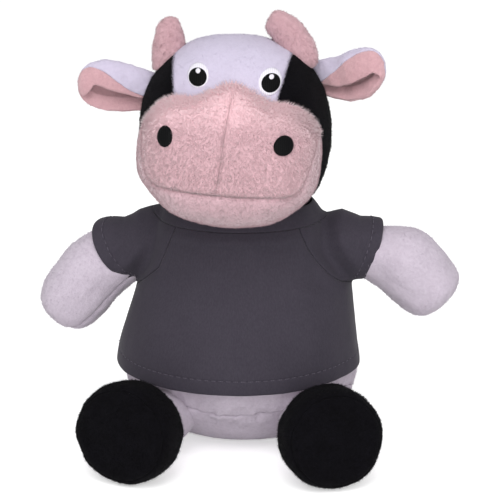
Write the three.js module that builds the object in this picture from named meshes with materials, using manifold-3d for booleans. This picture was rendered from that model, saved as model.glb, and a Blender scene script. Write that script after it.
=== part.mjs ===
// A seated stuffed cow in a T-shirt. Millimetres, +Z up, the face looks along -Y.
// The origin lies on the floor, in the middle of the flat seat.
import * as THREE from "three";
import { mergeVertices } from "three/addons/utils/BufferGeometryUtils.js";
import Module from "manifold-3d";

const wasm = await Module();
wasm.setup();

// Cloth and clearances
const plushWall = 1.6;
const jerseyWall = 0.9;
const threadWall = 0.6;
const seamGap = 0.3;
const fillGap = 0.35;
const socketGap = 0.3;
const overrun = 400;
const limbSides = 16;

// Torso: a pear that stands on a flat seat
const torsoHeight = 116;
const torsoHalfWidth = 57.5;
const torsoFront = 50;
const torsoBack = 45;
const seatBehind = 8;
const bellyHeight = 45;
const seatCut = 0.5;
const seatPanelTop = 28;
const torsoSides = 22;
const beanPouchTop = 15;

// Neck: a round stuffed stub that the head turns and nods on
const neckRadius = 25;
const neckSocketSides = 18;
const neckSocketRows = 10;
const neckHeight = 106;

// T-shirt
const hemHeight = 40;
const hemDip = 2.4;
const necklineHeight = 112;
const shirtEase = 1;
const hemEase = 2.6;
const easeHeight = 45;
const neckbandHeight = 9;
const neckbandHalfWidth = 40.6;
const neckbandHalfDepth = 38;
const neckbandTopShare = 0.83;
const raglanTopHalfWidth = 30;
const raglanUnderarm = 79;
const raglanUnderarmHalfWidth = 47;
const sleeveRootRadius = 16.6;
const sleeveCuffRadiusLeft = 16.2;
const sleeveCuffRadiusRight = 13.9;
const sleeveLengthLeft = 12;
const sleeveLengthRight = 14.5;
const sleeveDroopAngleLeft = 16;
const sleeveDroopAngleRight = 4;
const cuffSlantAngleLeft = 14;
const cuffSlantAngleRight = 14;
const cuffTwistAngleLeft = 14;
const cuffTwistAngleRight = 6;

// Arms
const shoulderOut = 50;
const shoulderHeight = 97.5;
const shoulderBack = 0;
const shoulderBallRadius = 13;
const armLength = 57;
const armRadiusLeft = 16;
const armRadiusRight = 17;
const armCuffRadiusLeft = 15;
const armCuffRadiusRight = 12.9;
const armArch = 7;
const armDroopAngleLeft = 45;
const armDroopAngleRight = 28.5;
const armLowerAngleLeft = 4;
const armLowerAngleRight = 20;

// Legs and feet
const hipOut = 34;
const hipFront = 30;
const hipHeight = 20.4;
const legRadius = 14.6;
const ankleRadius = 18.4;
const footHalfWidthLeft = 24.8;
const footHalfWidthRight = 23.8;
const footHalfHeight = 23.7;
const legLength = 52;
const footLength = 26;
const legSplayAngleLeft = 19.5;
const legSplayAngleRight = 18;
const legOpenAngle = 18;
const hipEaseAngle = 7;

// Head
const headSides = 24;
const headHalfWidth = 46;
const headHalfDepth = 42;
const headHalfHeight = 42.2;
const headAside = -2;
const headForward = 4;
const headHeight = 159.2;
const headRollAngle = 4;
const headYawAngle = 0.5;
const blazeAside = -3.7;
const blazeHalfWidth = 20.8;
const blazeSpreadAngle = 12;

// Muzzle, measured from the middle of the head
const muzzleAside = 0.8;
const muzzleHalfWidth = 42.7;
const muzzleMiddle = -10;
const muzzleRise = 33;
const muzzleDrop = 32.2;
const muzzleRoot = 8;
const muzzleFront = 73;
const mouthHeight = -21.5;
const mouthTiltAngle = 5;
const centreSeamAngle = 4;
const nostrilOut = 26.5;
const nostrilHeight = 3.3;
const nostrilHalfWidth = 4.6;
const nostrilHalfHeight = 5.2;

// Eyes
const eyeOut = 16.7;
const eyeHeight = 25;
const eyeHalfWidth = 5.2;
const eyeHalfHeight = 6.5;
const pupilRadius = 4.4;
const glintRadius = 1.3;
const glintRise = 2.4;

// Horns
const hornOutLeft = 33;
const hornOutRight = 29.2;
const hornHeight = 29;
const hornRoot = 5;
const hornLengthLeft = 24;
const hornLengthRight = 34;
const hornHalfWidthLeft = 8.2;
const hornHalfWidthRight = 8.8;
const hornHalfDepth = 5.6;
const hornCurlLeft = 3;
const hornCurlRight = 6;
const hornLeanAngleLeft = -6;
const hornLeanAngleRight = 25;

// Ears
const earOutLeft = 43;
const earOutRight = 40.5;
const earHeightLeft = 10;
const earHeightRight = 20.5;
const earBack = 9.6;
const earLength = 36;
const earRoot = 8;
const earHalfHeight = 12.4;
const earCup = 6.5;
const earLayer = 1.3;
const earSteps = 9;
const earRings = 12;
const earFromAngle = -75;
const earBackToAngle = 155;
const earLiningToAngle = 190;
const earFoldAngle = 20;
const earTurnAngleLeft = 6;
const earTurnAngleRight = 32;
const earLiftAngleLeft = 4;
const earLiftAngleRight = 25;

// Tail
const tailHeight = 21;
const tailBack = 45;
const tailBallRadius = 4.2;
const tailRadius = 3;
const tailReach = 26;
const tuftRadius = 6.5;
const tuftLength = 24;

// Colours
const looks = {
  white: { color: 0xd6cddd, roughness: 0.95 },
  black: { color: 0x1b191d, roughness: 0.95 },
  pink: { color: 0xe6b3b6, roughness: 0.95 },
  chin: { color: 0xe9bfc4, roughness: 0.95 },
  charcoal: { color: 0x46414b, roughness: 0.9 },
  thread: { color: 0x141216, roughness: 0.6 },
  whiteThread: { color: 0xf2f0f4, roughness: 0.6 },
  fibre: { color: 0xeeeeee, roughness: 1 },
  beans: { color: 0xd8d2c4, roughness: 0.9 },
};

const X = new THREE.Vector3(1, 0, 0);
const Y = new THREE.Vector3(0, 1, 0);
const Z = new THREE.Vector3(0, 0, 1);
const degrees = THREE.MathUtils.degToRad;
const turn = (axis, angle) => new THREE.Matrix4().makeRotationAxis(axis, degrees(angle));
const shift = (x, y, z) => new THREE.Matrix4().makeTranslation(x, y, z);
const inOrder = (...matrices) => matrices.reduce((all, one) => all.multiply(one), new THREE.Matrix4());

// Closed forms

// Loops of points round a spine, closed over; the first and the last loop draw together to a point.
function closedForm(loops) {
  const sides = loops[0].length;
  const middle = (loop) => loop
    .reduce((sum, point) => sum.clone().add(point), new THREE.Vector3())
    .divideScalar(sides);
  const open = loops.slice(1, -1);
  const points = [middle(loops[0]), ...open.flat(), middle(loops.at(-1))];
  const at = (i, j) => 1 + i * sides + (j % sides);
  const index = [];
  for (let j = 0; j < sides; j += 1) {
    index.push(0, at(0, j + 1), at(0, j));
    for (let i = 0; i < open.length - 1; i += 1) {
      index.push(at(i, j), at(i, j + 1), at(i + 1, j + 1));
      index.push(at(i, j), at(i + 1, j + 1), at(i + 1, j));
    }
    index.push(at(open.length - 1, j), at(open.length - 1, j + 1), points.length - 1);
  }
  const form = new THREE.BufferGeometry().setFromPoints(points);
  form.setIndex(index);
  return form;
}

// An oval of unit shares; the half on the negative side can be of another depth.
function oval(sides, frontShare = 1) {
  return Array.from({ length: sides }, (_, k) => {
    const angle = (2 * Math.PI * k) / sides;
    return [Math.cos(angle), Math.sin(angle) * (Math.sin(angle) < 0 ? frontShare : 1)];
  });
}

// A form swept along a spine. A row of shares gives the place along the spine and the two half sizes there.
function swept({ spine, across, shares, rings = shares.length - 1, outline, halfWidth, halfDepth, ahead }) {
  const smooth = new THREE.CatmullRomCurve3(shares.map((row) => new THREE.Vector3(...row)));
  const loops = smooth.getPoints(rings).map(({ x: along, y: wide, z: deep }) => {
    const centre = spine.getPoint(THREE.MathUtils.clamp(along, 0, 1));
    const inwards = (ahead ?? spine.getTangent(THREE.MathUtils.clamp(along, 0, 1))).clone().cross(across);
    return outline.map(([u, v]) => centre.clone()
      .addScaledVector(across, u * wide * halfWidth)
      .addScaledVector(inwards, v * deep * halfDepth));
  });
  return closedForm(loops);
}

// The same form with its surface moved outwards by a distance, or by a distance that depends on the place.
function grown(form, distance) {
  const copy = form.clone();
  copy.computeVertexNormals();
  const { position, normal } = copy.attributes;
  const point = new THREE.Vector3();
  const out = new THREE.Vector3();
  for (let i = 0; i < position.count; i += 1) {
    point.fromBufferAttribute(position, i);
    out.fromBufferAttribute(normal, i);
    point.addScaledVector(out, typeof distance === "function" ? distance(point) : distance);
    position.setXYZ(i, point.x, point.y, point.z);
  }
  return copy;
}

// Solids that can be joined and cut

function solid(geometry, place = new THREE.Matrix4()) {
  const bare = geometry.clone().applyMatrix4(place);
  bare.deleteAttribute("normal");
  bare.deleteAttribute("uv");
  const merged = mergeVertices(bare);
  return new wasm.Manifold(new wasm.Mesh({
    numProp: 3,
    vertProperties: merged.attributes.position.array,
    triVerts: new Uint32Array(merged.index.array),
  }));
}

// Everything on the side of a plane that its normal points to.
function beyond(normal, distance, place = new THREE.Matrix4()) {
  const half = overrun / 2;
  const facing = new THREE.Matrix4().makeRotationFromQuaternion(
    new THREE.Quaternion().setFromUnitVectors(Z, normal.clone().normalize()));
  const slab = new THREE.BoxGeometry(overrun, overrun, overrun);
  return solid(slab, inOrder(place, facing, shift(0, 0, distance + half)));
}

const ball = (radius, place) => solid(new THREE.SphereGeometry(radius, 18, 12), place);

// How near the flat facets of a round form come to its middle, as a share of its radius.
const facetShare = (around, rows) => Math.cos(Math.PI / around) * Math.cos(Math.PI / (2 * rows));

// A round socket whose facets all stay clear of a ball of this radius.
const socket = (radius, place, around = 14, rows = 8) => solid(
  new THREE.SphereGeometry((radius + socketGap) / facetShare(around, rows), around, rows), place);

// The piece that is left when the slivers between two cuts are thrown away.
const largest = (pieces) => pieces.reduce((best, one) => (one.volume() > best.volume() ? one : best));

function look(name) {
  const { color, roughness } = looks[name];
  return new THREE.MeshStandardMaterial({ color, roughness, metalness: 0 });
}

const cow = new THREE.Group();

function add(group, name, made, lookName) {
  const { vertProperties, triVerts } = made.getMesh();
  const geometry = new THREE.BufferGeometry();
  geometry.setAttribute("position", new THREE.BufferAttribute(new Float32Array(vertProperties), 3));
  geometry.setIndex(new THREE.BufferAttribute(new Uint32Array(triVerts), 1));
  const mesh = new THREE.Mesh(geometry, look(lookName));
  mesh.name = name;
  group.add(mesh);
}

function groupIn(parent, place) {
  const group = new THREE.Group();
  group.applyMatrix4(place);
  parent.add(group);
  return group;
}

// Limbs, each along its own +X from the middle of its round root, where the cover is open

const rootOpeningShare = 0.7;
const soleSeamShare = 0.955;

const straight = (from, to) => new THREE.LineCurve3(new THREE.Vector3(...from), new THREE.Vector3(...to));

const armRise = Math.atan2(4 * armArch, armLength);
const armSpine = new THREE.CatmullRomCurve3([
  new THREE.Vector3(-shoulderBallRadius * Math.cos(armRise), 0, -shoulderBallRadius * Math.sin(armRise)),
  new THREE.Vector3(0, 0, 0),
  new THREE.Vector3(armLength / 2, 0, armArch),
  new THREE.Vector3(armLength, 0, 0),
]);
const armFormOf = (side) => {
  const radius = side > 0 ? armRadiusRight : armRadiusLeft;
  const ballShare = shoulderBallRadius / radius;
  const cuffShare = (side > 0 ? armCuffRadiusRight : armCuffRadiusLeft) / radius;
  const armShares = [
    [0, 0],
    [0.03, 0.42 * ballShare],
    [0.1, 0.72 * ballShare],
    [0.2, 0.92 * ballShare],
    [0.333, ballShare],
    [0.45, cuffShare],
    [0.56, (1 + cuffShare) / 2],
    [0.68, 1],
    [0.81, 1],
    [0.9, 0.92],
    [0.965, 0.67],
    [1, 0],
  ];
  return swept({
    spine: armSpine,
    across: Y,
    shares: armShares.map(([along, size]) => [along, size, size]),
    outline: oval(14),
    halfWidth: radius,
    halfDepth: radius,
  });
};

const footMiddle = legLength - footLength / 2;
const legTilt = THREE.MathUtils.radToDeg(Math.asin((footHalfHeight - hipHeight) / footMiddle));
const legSpine = straight([-legRadius, 0, 0], [legLength, 0, 0]);
const legSpan = legLength + legRadius;
const ankleShare = (legSpan - footLength) / legSpan;
const calfShare = (2 * legRadius) / legSpan;
const ballPlace = (angle) => (1 - Math.cos(degrees(angle))) * (legRadius / legSpan);
const ballSize = (angle) => Math.sin(degrees(angle)) * legRadius;
const ballAngles = [0, 22.5, 45, 67.5, 90];
const footShares = [[0.09, 0.88], [0.3, 0.99], [0.7, 1], [0.88, 0.93], [0.96, 0.81]];
const legFormOf = (side) => {
  const halfWidth = side > 0 ? footHalfWidthRight : footHalfWidthLeft;
  const round = (along, radius) => [along, radius / halfWidth, radius / footHalfHeight];
  const legShares = [
    ...ballAngles.map((angle) => round(ballPlace(angle), ballSize(angle))),
    round(calfShare, legRadius),
    round(ankleShare, ankleRadius),
    ...footShares.map(([along, size]) => [ankleShare + (1 - ankleShare) * along, size, size]),
    [1, 0, 0],
  ];
  return swept({
    spine: legSpine,
    across: Y,
    shares: legShares,
    outline: oval(limbSides),
    halfWidth,
    halfDepth: footHalfHeight,
  });
};

// Places of the limbs, for the right side (1) and the left side (-1) as the photograph shows them

const facing = (side) => (side > 0 ? new THREE.Matrix4() : turn(Z, 180));
const armPlace = (side, raised = 0) => {
  const droop = side > 0 ? armDroopAngleRight : armDroopAngleLeft;
  return inOrder(
    shift(side * shoulderOut, shoulderBack, shoulderHeight),
    facing(side),
    turn(Y, droop - raised),
  );
};
const legPlace = (side, opened = 0) => inOrder(
  shift(side * hipOut, -hipFront, hipHeight),
  turn(Z, -90 + (side > 0 ? legSplayAngleRight + opened : -legSplayAngleLeft - opened)),
  turn(Y, -legTilt),
);

const sides = [["left", -1], ["right", 1]];

// Torso

const torsoShares = [
  [0, 0, 0],
  [0.012, 0.42, 0.36],
  [0.077, 0.68, 0.6],
  [0.192, 0.86, 0.82],
  [0.368, 0.985, 0.985],
  [0.514, 0.99, 1],
  [0.613, 0.945, 0.93],
  [0.711, 0.875, 0.84],
  [0.81, 0.81, 0.775],
  [0.894, 0.755, 0.74],
  [0.951, 0.71, 0.715],
  [0.979, 0.655, 0.66],
  [0.995, 0.48, 0.48],
  [1, 0, 0],
];
const torsoFormOf = (around) => swept({
  spine: new THREE.CatmullRomCurve3([
    new THREE.Vector3(0, seatBehind, -seatCut),
    new THREE.Vector3(0, 0, bellyHeight),
    new THREE.Vector3(0, 0, torsoHeight),
  ]),
  across: X,
  ahead: Z,
  shares: torsoShares,
  outline: oval(around, torsoFront / torsoBack),
  halfWidth: torsoHalfWidth,
  halfDepth: torsoBack,
});
const torsoForm = torsoFormOf(torsoSides);
const torsoOuter = solid(torsoForm).intersect(beyond(Z, 0));
const torsoInner = solid(grown(torsoForm, -plushWall)).intersect(beyond(Z, plushWall));
const torsoCore = solid(grown(torsoFormOf(torsoSides / 2), -plushWall - fillGap))
  .intersect(beyond(Z, plushWall + fillGap));
const neckPlace = shift(0, 0, neckHeight);
const neckSocket = socket(neckRadius, neckPlace, neckSocketSides, neckSocketRows);

// The limbs turn on their round roots, each in a socket of its own.
const hipRoom = (legRadius + socketGap) / facetShare(limbSides, 180 / (ballAngles[1] - ballAngles[0]));
const hipFlare = hipRoom + legRadius * Math.tan(degrees(legOpenAngle + hipEaseAngle));
const hipSocketForm = swept({
  spine: straight([-hipRoom, 0, 0], [legRadius, 0, 0]),
  across: Y,
  shares: [
    ...ballAngles.slice(0, -1).map((angle) => {
      const along = ((1 - Math.cos(degrees(angle))) * hipRoom) / (hipRoom + legRadius);
      const size = (Math.sin(degrees(angle)) * hipRoom) / hipFlare;
      return [along, size, size];
    }),
    [1, 1, 1],
    [1, 0, 0],
  ],
  outline: oval(limbSides),
  halfWidth: hipFlare,
  halfDepth: hipFlare,
});
const armRooms = (side) => {
  const roomy = grown(armFormOf(side), socketGap);
  const lowest = side > 0 ? armLowerAngleRight : armLowerAngleLeft;
  return [0, -lowest / 2, -lowest].map((raised) => solid(roomy, armPlace(side, raised)));
};
const tailPlace = shift(0, tailBack, tailHeight);
const sockets = sides.flatMap(([, side]) => [
  socket(shoulderBallRadius, armPlace(side)), ...armRooms(side), solid(hipSocketForm, legPlace(side))]);
const rooms = sockets.reduce((all, one) => all.add(one), neckSocket).add(socket(tailBallRadius, tailPlace));

const torsoShell = torsoOuter.subtract(torsoInner).subtract(rooms);
add(cow, "torso_cover", torsoShell.intersect(beyond(Z, seatPanelTop + seamGap)), "white");
add(cow, "seat_panel", torsoShell.subtract(beyond(Z, seatPanelTop)), "white");
add(cow, "bean_pouch", torsoCore.subtract(rooms).subtract(beyond(Z, beanPouchTop)), "beans");
add(cow, "torso_stuffing", torsoCore.subtract(rooms).intersect(beyond(Z, beanPouchTop + seamGap)), "fibre");
add(cow, "neck", ball(neckRadius, neckPlace), "white");

// Arms

for (const [name, side] of sides) {
  const group = groupIn(cow, armPlace(side));
  const opening = beyond(X, -shoulderBallRadius * rootOpeningShare);
  const armForm = armFormOf(side);
  const inner = solid(grown(armForm, -plushWall));
  add(group, `arm_${name}_cover`, solid(armForm).subtract(inner).intersect(opening), "white");
  add(group, `arm_${name}_stuffing`, solid(grown(armForm, -plushWall - fillGap)), "fibre");
}

// Legs, with the black foot closed by its sole

for (const [name, side] of sides) {
  const group = groupIn(cow, legPlace(side));
  const ankle = legLength - footLength;
  const soleSeam = legLength * soleSeamShare;
  const opening = beyond(X, -legRadius * rootOpeningShare);
  const legForm = legFormOf(side);
  const shell = solid(legForm).subtract(solid(grown(legForm, -plushWall))).intersect(opening);
  const ankleCut = beyond(X, ankle);
  const soleCut = beyond(X, soleSeam);
  add(group, `leg_${name}_cover`, shell.subtract(ankleCut), "white");
  add(group, `foot_${name}_upper`, shell.intersect(beyond(X, ankle + seamGap)).subtract(soleCut), "black");
  add(group, `foot_${name}_sole`, shell.intersect(beyond(X, soleSeam + seamGap)), "black");
  add(group, `leg_${name}_stuffing`, solid(grown(legForm, -plushWall - fillGap)), "fibre");
}

// T-shirt: the torso's form with ease, cut into a front, a back and two raglan sleeves

const ease = (point) => {
  const low = THREE.MathUtils.clamp((hemHeight + easeHeight - point.z) / easeHeight, 0, 1);
  return shirtEase + hemEase * low * low;
};
const hemNormal = new THREE.Vector3(0, -hemDip, torsoFront).normalize();
const shirtBand = beyond(hemNormal, hemNormal.z * hemHeight).subtract(beyond(Z, necklineHeight));
const shirtInner = solid(grown(torsoForm, ease));
const shirtOuter = solid(grown(torsoForm, (point) => ease(point) + jerseyWall));
const raglanLean = Math.atan2(raglanUnderarmHalfWidth - raglanTopHalfWidth, necklineHeight - raglanUnderarm);
const raglan = (side, gap) => {
  const normal = new THREE.Vector3(side * Math.cos(raglanLean), 0, Math.sin(raglanLean));
  const top = new THREE.Vector3(side * raglanTopHalfWidth, 0, necklineHeight);
  return beyond(normal, normal.dot(top) + gap).intersect(beyond(Z, raglanUnderarm));
};

const sleeveFormOf = (cuffRadius, length) => {
  const taperShare = cuffRadius / sleeveRootRadius;
  return swept({
    spine: straight([-shoulderBallRadius, 0, 0], [length + cuffRadius / 2, 0, 0]),
    across: Y,
    shares: [[0, 0, 0], [0, 1, 1], [0.55, 1, 1], [1, taperShare, taperShare], [1, 0, 0]],
    outline: oval(16),
    halfWidth: sleeveRootRadius,
    halfDepth: sleeveRootRadius,
  });
};
const sleevePlace = (side) => inOrder(
  shift(side * shoulderOut, shoulderBack, shoulderHeight),
  facing(side),
  turn(Y, side > 0 ? sleeveDroopAngleRight : sleeveDroopAngleLeft),
);
const sleeveLength = (side) => (side > 0 ? sleeveLengthRight : sleeveLengthLeft);
const cuff = (side) => {
  const slant = degrees(side > 0 ? cuffSlantAngleRight : cuffSlantAngleLeft);
  const twist = degrees(side > 0 ? cuffTwistAngleRight : cuffTwistAngleLeft);
  const out = new THREE.Vector3(Math.cos(twist), side * Math.sin(twist), -Math.tan(slant)).normalize();
  return beyond(out, sleeveLength(side) * out.x, sleevePlace(side));
};
const through = straight([-shoulderBallRadius, 0, 0], [overrun, 0, 0]);

const bandBottom = necklineHeight + seamGap;
const bandForm = (inset, over) => solid(swept({
  spine: straight([0, 0, bandBottom - over], [0, 0, bandBottom + neckbandHeight + over]),
  across: X,
  shares: [[0, 0, 0], [0, 1, 1], [1, neckbandTopShare, neckbandTopShare], [1, 0, 0]],
  outline: oval(torsoSides),
  halfWidth: neckbandHalfWidth - inset,
  halfDepth: neckbandHalfDepth - inset,
}));

const shirtShell = shirtOuter.subtract(shirtInner).intersect(shirtBand);
const sleeveSolids = sides.map(([name, side]) => {
  const cuffRadius = side > 0 ? sleeveCuffRadiusRight : sleeveCuffRadiusLeft;
  const sleeveForm = sleeveFormOf(cuffRadius, sleeveLength(side));
  const outer = solid(sleeveForm, sleevePlace(side));
  const bore = solid(swept({
    spine: through, across: Y, shares: [[0, 0, 0], [0, 1, 1], [1, 1, 1], [1, 0, 0]], outline: oval(16),
    halfWidth: cuffRadius - jerseyWall, halfDepth: cuffRadius - jerseyWall,
  }), sleevePlace(side));
  const inner = solid(grown(sleeveForm, -jerseyWall), sleevePlace(side));
  const yoke = shirtOuter.intersect(raglan(side, seamGap)).intersect(shirtBand);
  const arm = solid(grown(armFormOf(side), seamGap), armPlace(side));
  const made = outer.add(yoke).subtract(shirtInner).subtract(inner).subtract(bore).subtract(arm)
    .subtract(cuff(side)).subtract(bandForm(-seamGap, seamGap)).intersect(raglan(side, seamGap));
  return { name, outer, made };
});
const roomySleeves = sleeveSolids.map(({ outer }) => outer).reduce((all, one) => all.add(one));
const panels = shirtShell.subtract(raglan(1, 0)).subtract(raglan(-1, 0)).subtract(roomySleeves);
add(cow, "shirt_front", panels.intersect(beyond(Y.clone().negate(), seamGap / 2)), "charcoal");
add(cow, "shirt_back", panels.intersect(beyond(Y, seamGap / 2)), "charcoal");
for (const { name, made } of sleeveSolids) add(cow, `sleeve_${name}`, made, "charcoal");

// Head

const headPlace = inOrder(
  shift(headAside, -headForward, headHeight), turn(Z, -headYawAngle), turn(Y, headRollAngle));
const headGroup = groupIn(cow, headPlace);
const inHead = headPlace.clone().invert();
const headShares = [
  [0, 0, 0],
  [0.015, 0.36, 0.36],
  [0.045, 0.63, 0.6],
  [0.09, 0.8, 0.76],
  [0.17, 0.91, 0.89],
  [0.32, 0.985, 0.98],
  [0.5, 1, 1],
  [0.68, 0.935, 0.935],
  [0.82, 0.78, 0.77],
  [0.92, 0.58, 0.56],
  [0.98, 0.31, 0.3],
  [1, 0, 0],
];
const headFormOf = (around) => swept({
  spine: straight([0, 0, -headHalfHeight], [0, 0, headHalfHeight]),
  across: X,
  shares: headShares,
  outline: oval(around),
  halfWidth: headHalfWidth,
  halfDepth: headHalfDepth,
});
const headForm = headFormOf(headSides);
const headSocket = socket(neckRadius, inOrder(inHead, neckPlace), neckSocketSides, neckSocketRows);

const muzzleOutlineShares = [
  [1, 0], [0.985, 0.25], [0.93, 0.48], [0.8, 0.68], [0.6, 0.8], [0.4, 0.84], [0.22, 0.96],
  [0, 1.06], [-0.22, 0.96], [-0.4, 0.84], [-0.6, 0.8], [-0.8, 0.68], [-0.93, 0.48], [-0.985, 0.25],
  [-1, 0], [-0.97, -0.3], [-0.84, -0.57], [-0.65, -0.79], [-0.38, -0.95],
  [0, -1], [0.38, -0.95], [0.67, -0.78], [0.86, -0.56], [0.97, -0.3],
];
const muzzleOutline = muzzleOutlineShares.map(([u, v]) => [u, v * (v > 0 ? muzzleRise / muzzleDrop : 1)]);
const muzzleShares = [
  [0, 0, 0],
  [0.01, 0.9, 0.9],
  [0.35, 1, 1],
  [0.55, 1, 0.98],
  [0.75, 0.93, 0.88],
  [0.89, 0.76, 0.7],
  [0.97, 0.48, 0.43],
  [1, 0, 0],
];
const muzzleForm = swept({
  spine: straight([muzzleAside, -muzzleRoot, muzzleMiddle], [muzzleAside, -muzzleFront, muzzleMiddle]),
  across: X,
  shares: muzzleShares,
  outline: muzzleOutline,
  halfWidth: muzzleHalfWidth,
  halfDepth: muzzleDrop,
});

const headOuter = solid(headForm);
const headInner = solid(grown(headForm, -plushWall));
const muzzleRoom = solid(grown(muzzleForm, seamGap));
const headShell = headOuter.subtract(headInner).subtract(headSocket).subtract(muzzleRoom);
const blazeSide = (side, gap) => {
  const spread = degrees(blazeSpreadAngle);
  const normal = new THREE.Vector3(side * Math.cos(spread), 0, -Math.sin(spread));
  return beyond(normal, normal.dot(new THREE.Vector3(blazeAside + side * blazeHalfWidth, 0, 0)) + gap);
};
const gusset = headShell.subtract(blazeSide(1, 0)).subtract(blazeSide(-1, 0));
add(headGroup, "forehead_gusset", largest(gusset.decompose()), "white");
for (const [name, side] of sides) {
  add(headGroup, `head_side_${name}`, headShell.intersect(blazeSide(side, seamGap)), "black");
}
const headCore = solid(grown(headFormOf(headSides / 2), -plushWall - fillGap));
add(headGroup, "head_stuffing", headCore.subtract(headSocket), "fibre");

// Muzzle: two upper halves on a centre seam, and a chin below the mouth seam

const headRoom = solid(grown(headForm, seamGap - plushWall));
const muzzleShell = solid(muzzleForm).subtract(solid(grown(muzzleForm, -plushWall)))
  .subtract(headRoom).subtract(headSocket);
const mouthTilt = degrees(mouthTiltAngle);
const mouthNormal = new THREE.Vector3(0, -Math.sin(mouthTilt), Math.cos(mouthTilt));
const mouthAt = (gap) => beyond(mouthNormal,
  mouthNormal.dot(new THREE.Vector3(0, -muzzleFront, mouthHeight)) + gap);
const seamLean = degrees(centreSeamAngle);
const seamNormal = new THREE.Vector3(Math.cos(seamLean), 0, -Math.sin(seamLean));
const upperMuzzle = muzzleShell.intersect(mouthAt(seamGap));
for (const [name, side] of sides) {
  const half = beyond(seamNormal.clone().multiplyScalar(side), seamGap / 2);
  add(headGroup, `muzzle_${name}`, upperMuzzle.intersect(half), "pink");
}
add(headGroup, "chin_panel", muzzleShell.subtract(mouthAt(0)), "chin");
add(headGroup, "muzzle_stuffing", solid(grown(muzzleForm, -plushWall - fillGap)).subtract(headRoom)
  .subtract(headSocket), "fibre");

// Neckband, pressed down under the chin

const chinRoom = solid(grown(muzzleForm, seamGap), headPlace);
add(cow, "neckband", bandForm(0, 0).subtract(bandForm(jerseyWall, seamGap)).subtract(chinRoom), "charcoal");

// Embroidery: a thin layer of thread over a form, inside an upright oval column along Y

const column = (x, z, halfWidth, halfHeight, lean = 0) => solid(swept({
  spine: straight([0, -headHalfDepth / 2, 0], [0, -overrun, 0]),
  across: X,
  shares: [[0, 0, 0], [0, 1, 1], [1, 1, 1], [1, 0, 0]],
  outline: oval(14),
  halfWidth,
  halfDepth: halfHeight,
}), inOrder(shift(x, 0, z), turn(Y, lean)));
const layerOver = (form, from, to) => solid(grown(form, to)).subtract(solid(grown(form, from)));

const muzzleThread = layerOver(muzzleForm, seamGap, seamGap + threadWall);
const headThread = layerOver(headForm, seamGap, seamGap + threadWall).subtract(muzzleRoom);
for (const [name, side] of sides) {
  add(headGroup, `nostril_${name}`, muzzleThread.intersect(
    column(side * nostrilOut, nostrilHeight, nostrilHalfWidth, nostrilHalfHeight)), "thread");
  const eye = column(side * eyeOut, eyeHeight, eyeHalfWidth, eyeHalfHeight);
  const pupil = column(side * eyeOut, eyeHeight, pupilRadius, pupilRadius);
  const pupilRoom = column(side * eyeOut, eyeHeight, pupilRadius + seamGap, pupilRadius + seamGap);
  const glintHeight = eyeHeight + glintRise;
  const glint = column(side * eyeOut, glintHeight, glintRadius, glintRadius);
  const glintRoom = column(side * eyeOut, glintHeight, glintRadius + seamGap, glintRadius + seamGap);
  add(headGroup, `eye_${name}_white`, headThread.intersect(eye).subtract(pupilRoom), "whiteThread");
  add(headGroup, `eye_${name}_pupil`, headThread.intersect(pupil).subtract(glintRoom), "thread");
  add(headGroup, `eye_${name}_glint`, headThread.intersect(glint), "whiteThread");
}

// Horns

const hornShares = [[0, 0, 0], [0.01, 1, 1], [0.35, 1, 1], [0.6, 0.94, 0.93], [0.82, 0.8, 0.78],
  [0.95, 0.52, 0.5], [1, 0, 0]];
for (const [name, side] of sides) {
  const [lean, length, out, halfWidth, curl] = side > 0
    ? [hornLeanAngleRight, hornLengthRight, hornOutRight, hornHalfWidthRight, hornCurlRight]
    : [hornLeanAngleLeft, hornLengthLeft, hornOutLeft, hornHalfWidthLeft, hornCurlLeft];
  const spine = new THREE.QuadraticBezierCurve3(
    new THREE.Vector3(0, 0, -hornRoot),
    new THREE.Vector3(side * curl, 0, length / 2 - hornRoot),
    new THREE.Vector3(-side * curl, 0, length - hornRoot),
  );
  const form = swept({
    spine, across: Y.clone().negate(), shares: hornShares, outline: oval(14),
    halfWidth: hornHalfDepth, halfDepth: halfWidth,
  });
  const place = inOrder(shift(side * out, 0, hornHeight), turn(Y, -side * lean));
  add(headGroup, `horn_${name}`, solid(form, place).subtract(solid(grown(headForm, seamGap))), "pink");
}

// Ears: a cupped leaf of two layers, folded forward along its top

const earShares = [
  [0, 0.45], [0.12, 0.55], [0.3, 0.78], [0.5, 0.96], [0.68, 1], [0.84, 0.86], [0.95, 0.55], [1, 0],
];
function earLayerForm(side, inset, toAngle) {
  const smooth = new THREE.SplineCurve(earShares.map((row) => new THREE.Vector2(...row)));
  const step = (toAngle - earFromAngle) / (earSteps - 1);
  const angles = Array.from({ length: earSteps }, (_, k) => earFromAngle + step * k);
  const loops = smooth.getPoints(earRings).map(({ x: along, y: size }) => {
    const at = (angle, inwards) => new THREE.Vector3(
      side * (Math.min(along, 1) * (earLength + earRoot) - earRoot),
      Math.max(size * earCup - inwards, 0) * Math.cos(degrees(angle)),
      Math.max(size * earHalfHeight - inwards, 0) * Math.sin(degrees(angle)),
    );
    const loop = [
      ...angles.map((angle) => at(angle, inset)),
      ...angles.toReversed().map((angle) => at(angle, inset + earLayer)),
    ];
    return side > 0 ? loop : loop.toReversed();
  });
  return closedForm([loops[0].map(() => new THREE.Vector3(-side * earRoot, 0, 0)), ...loops]);
}
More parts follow.
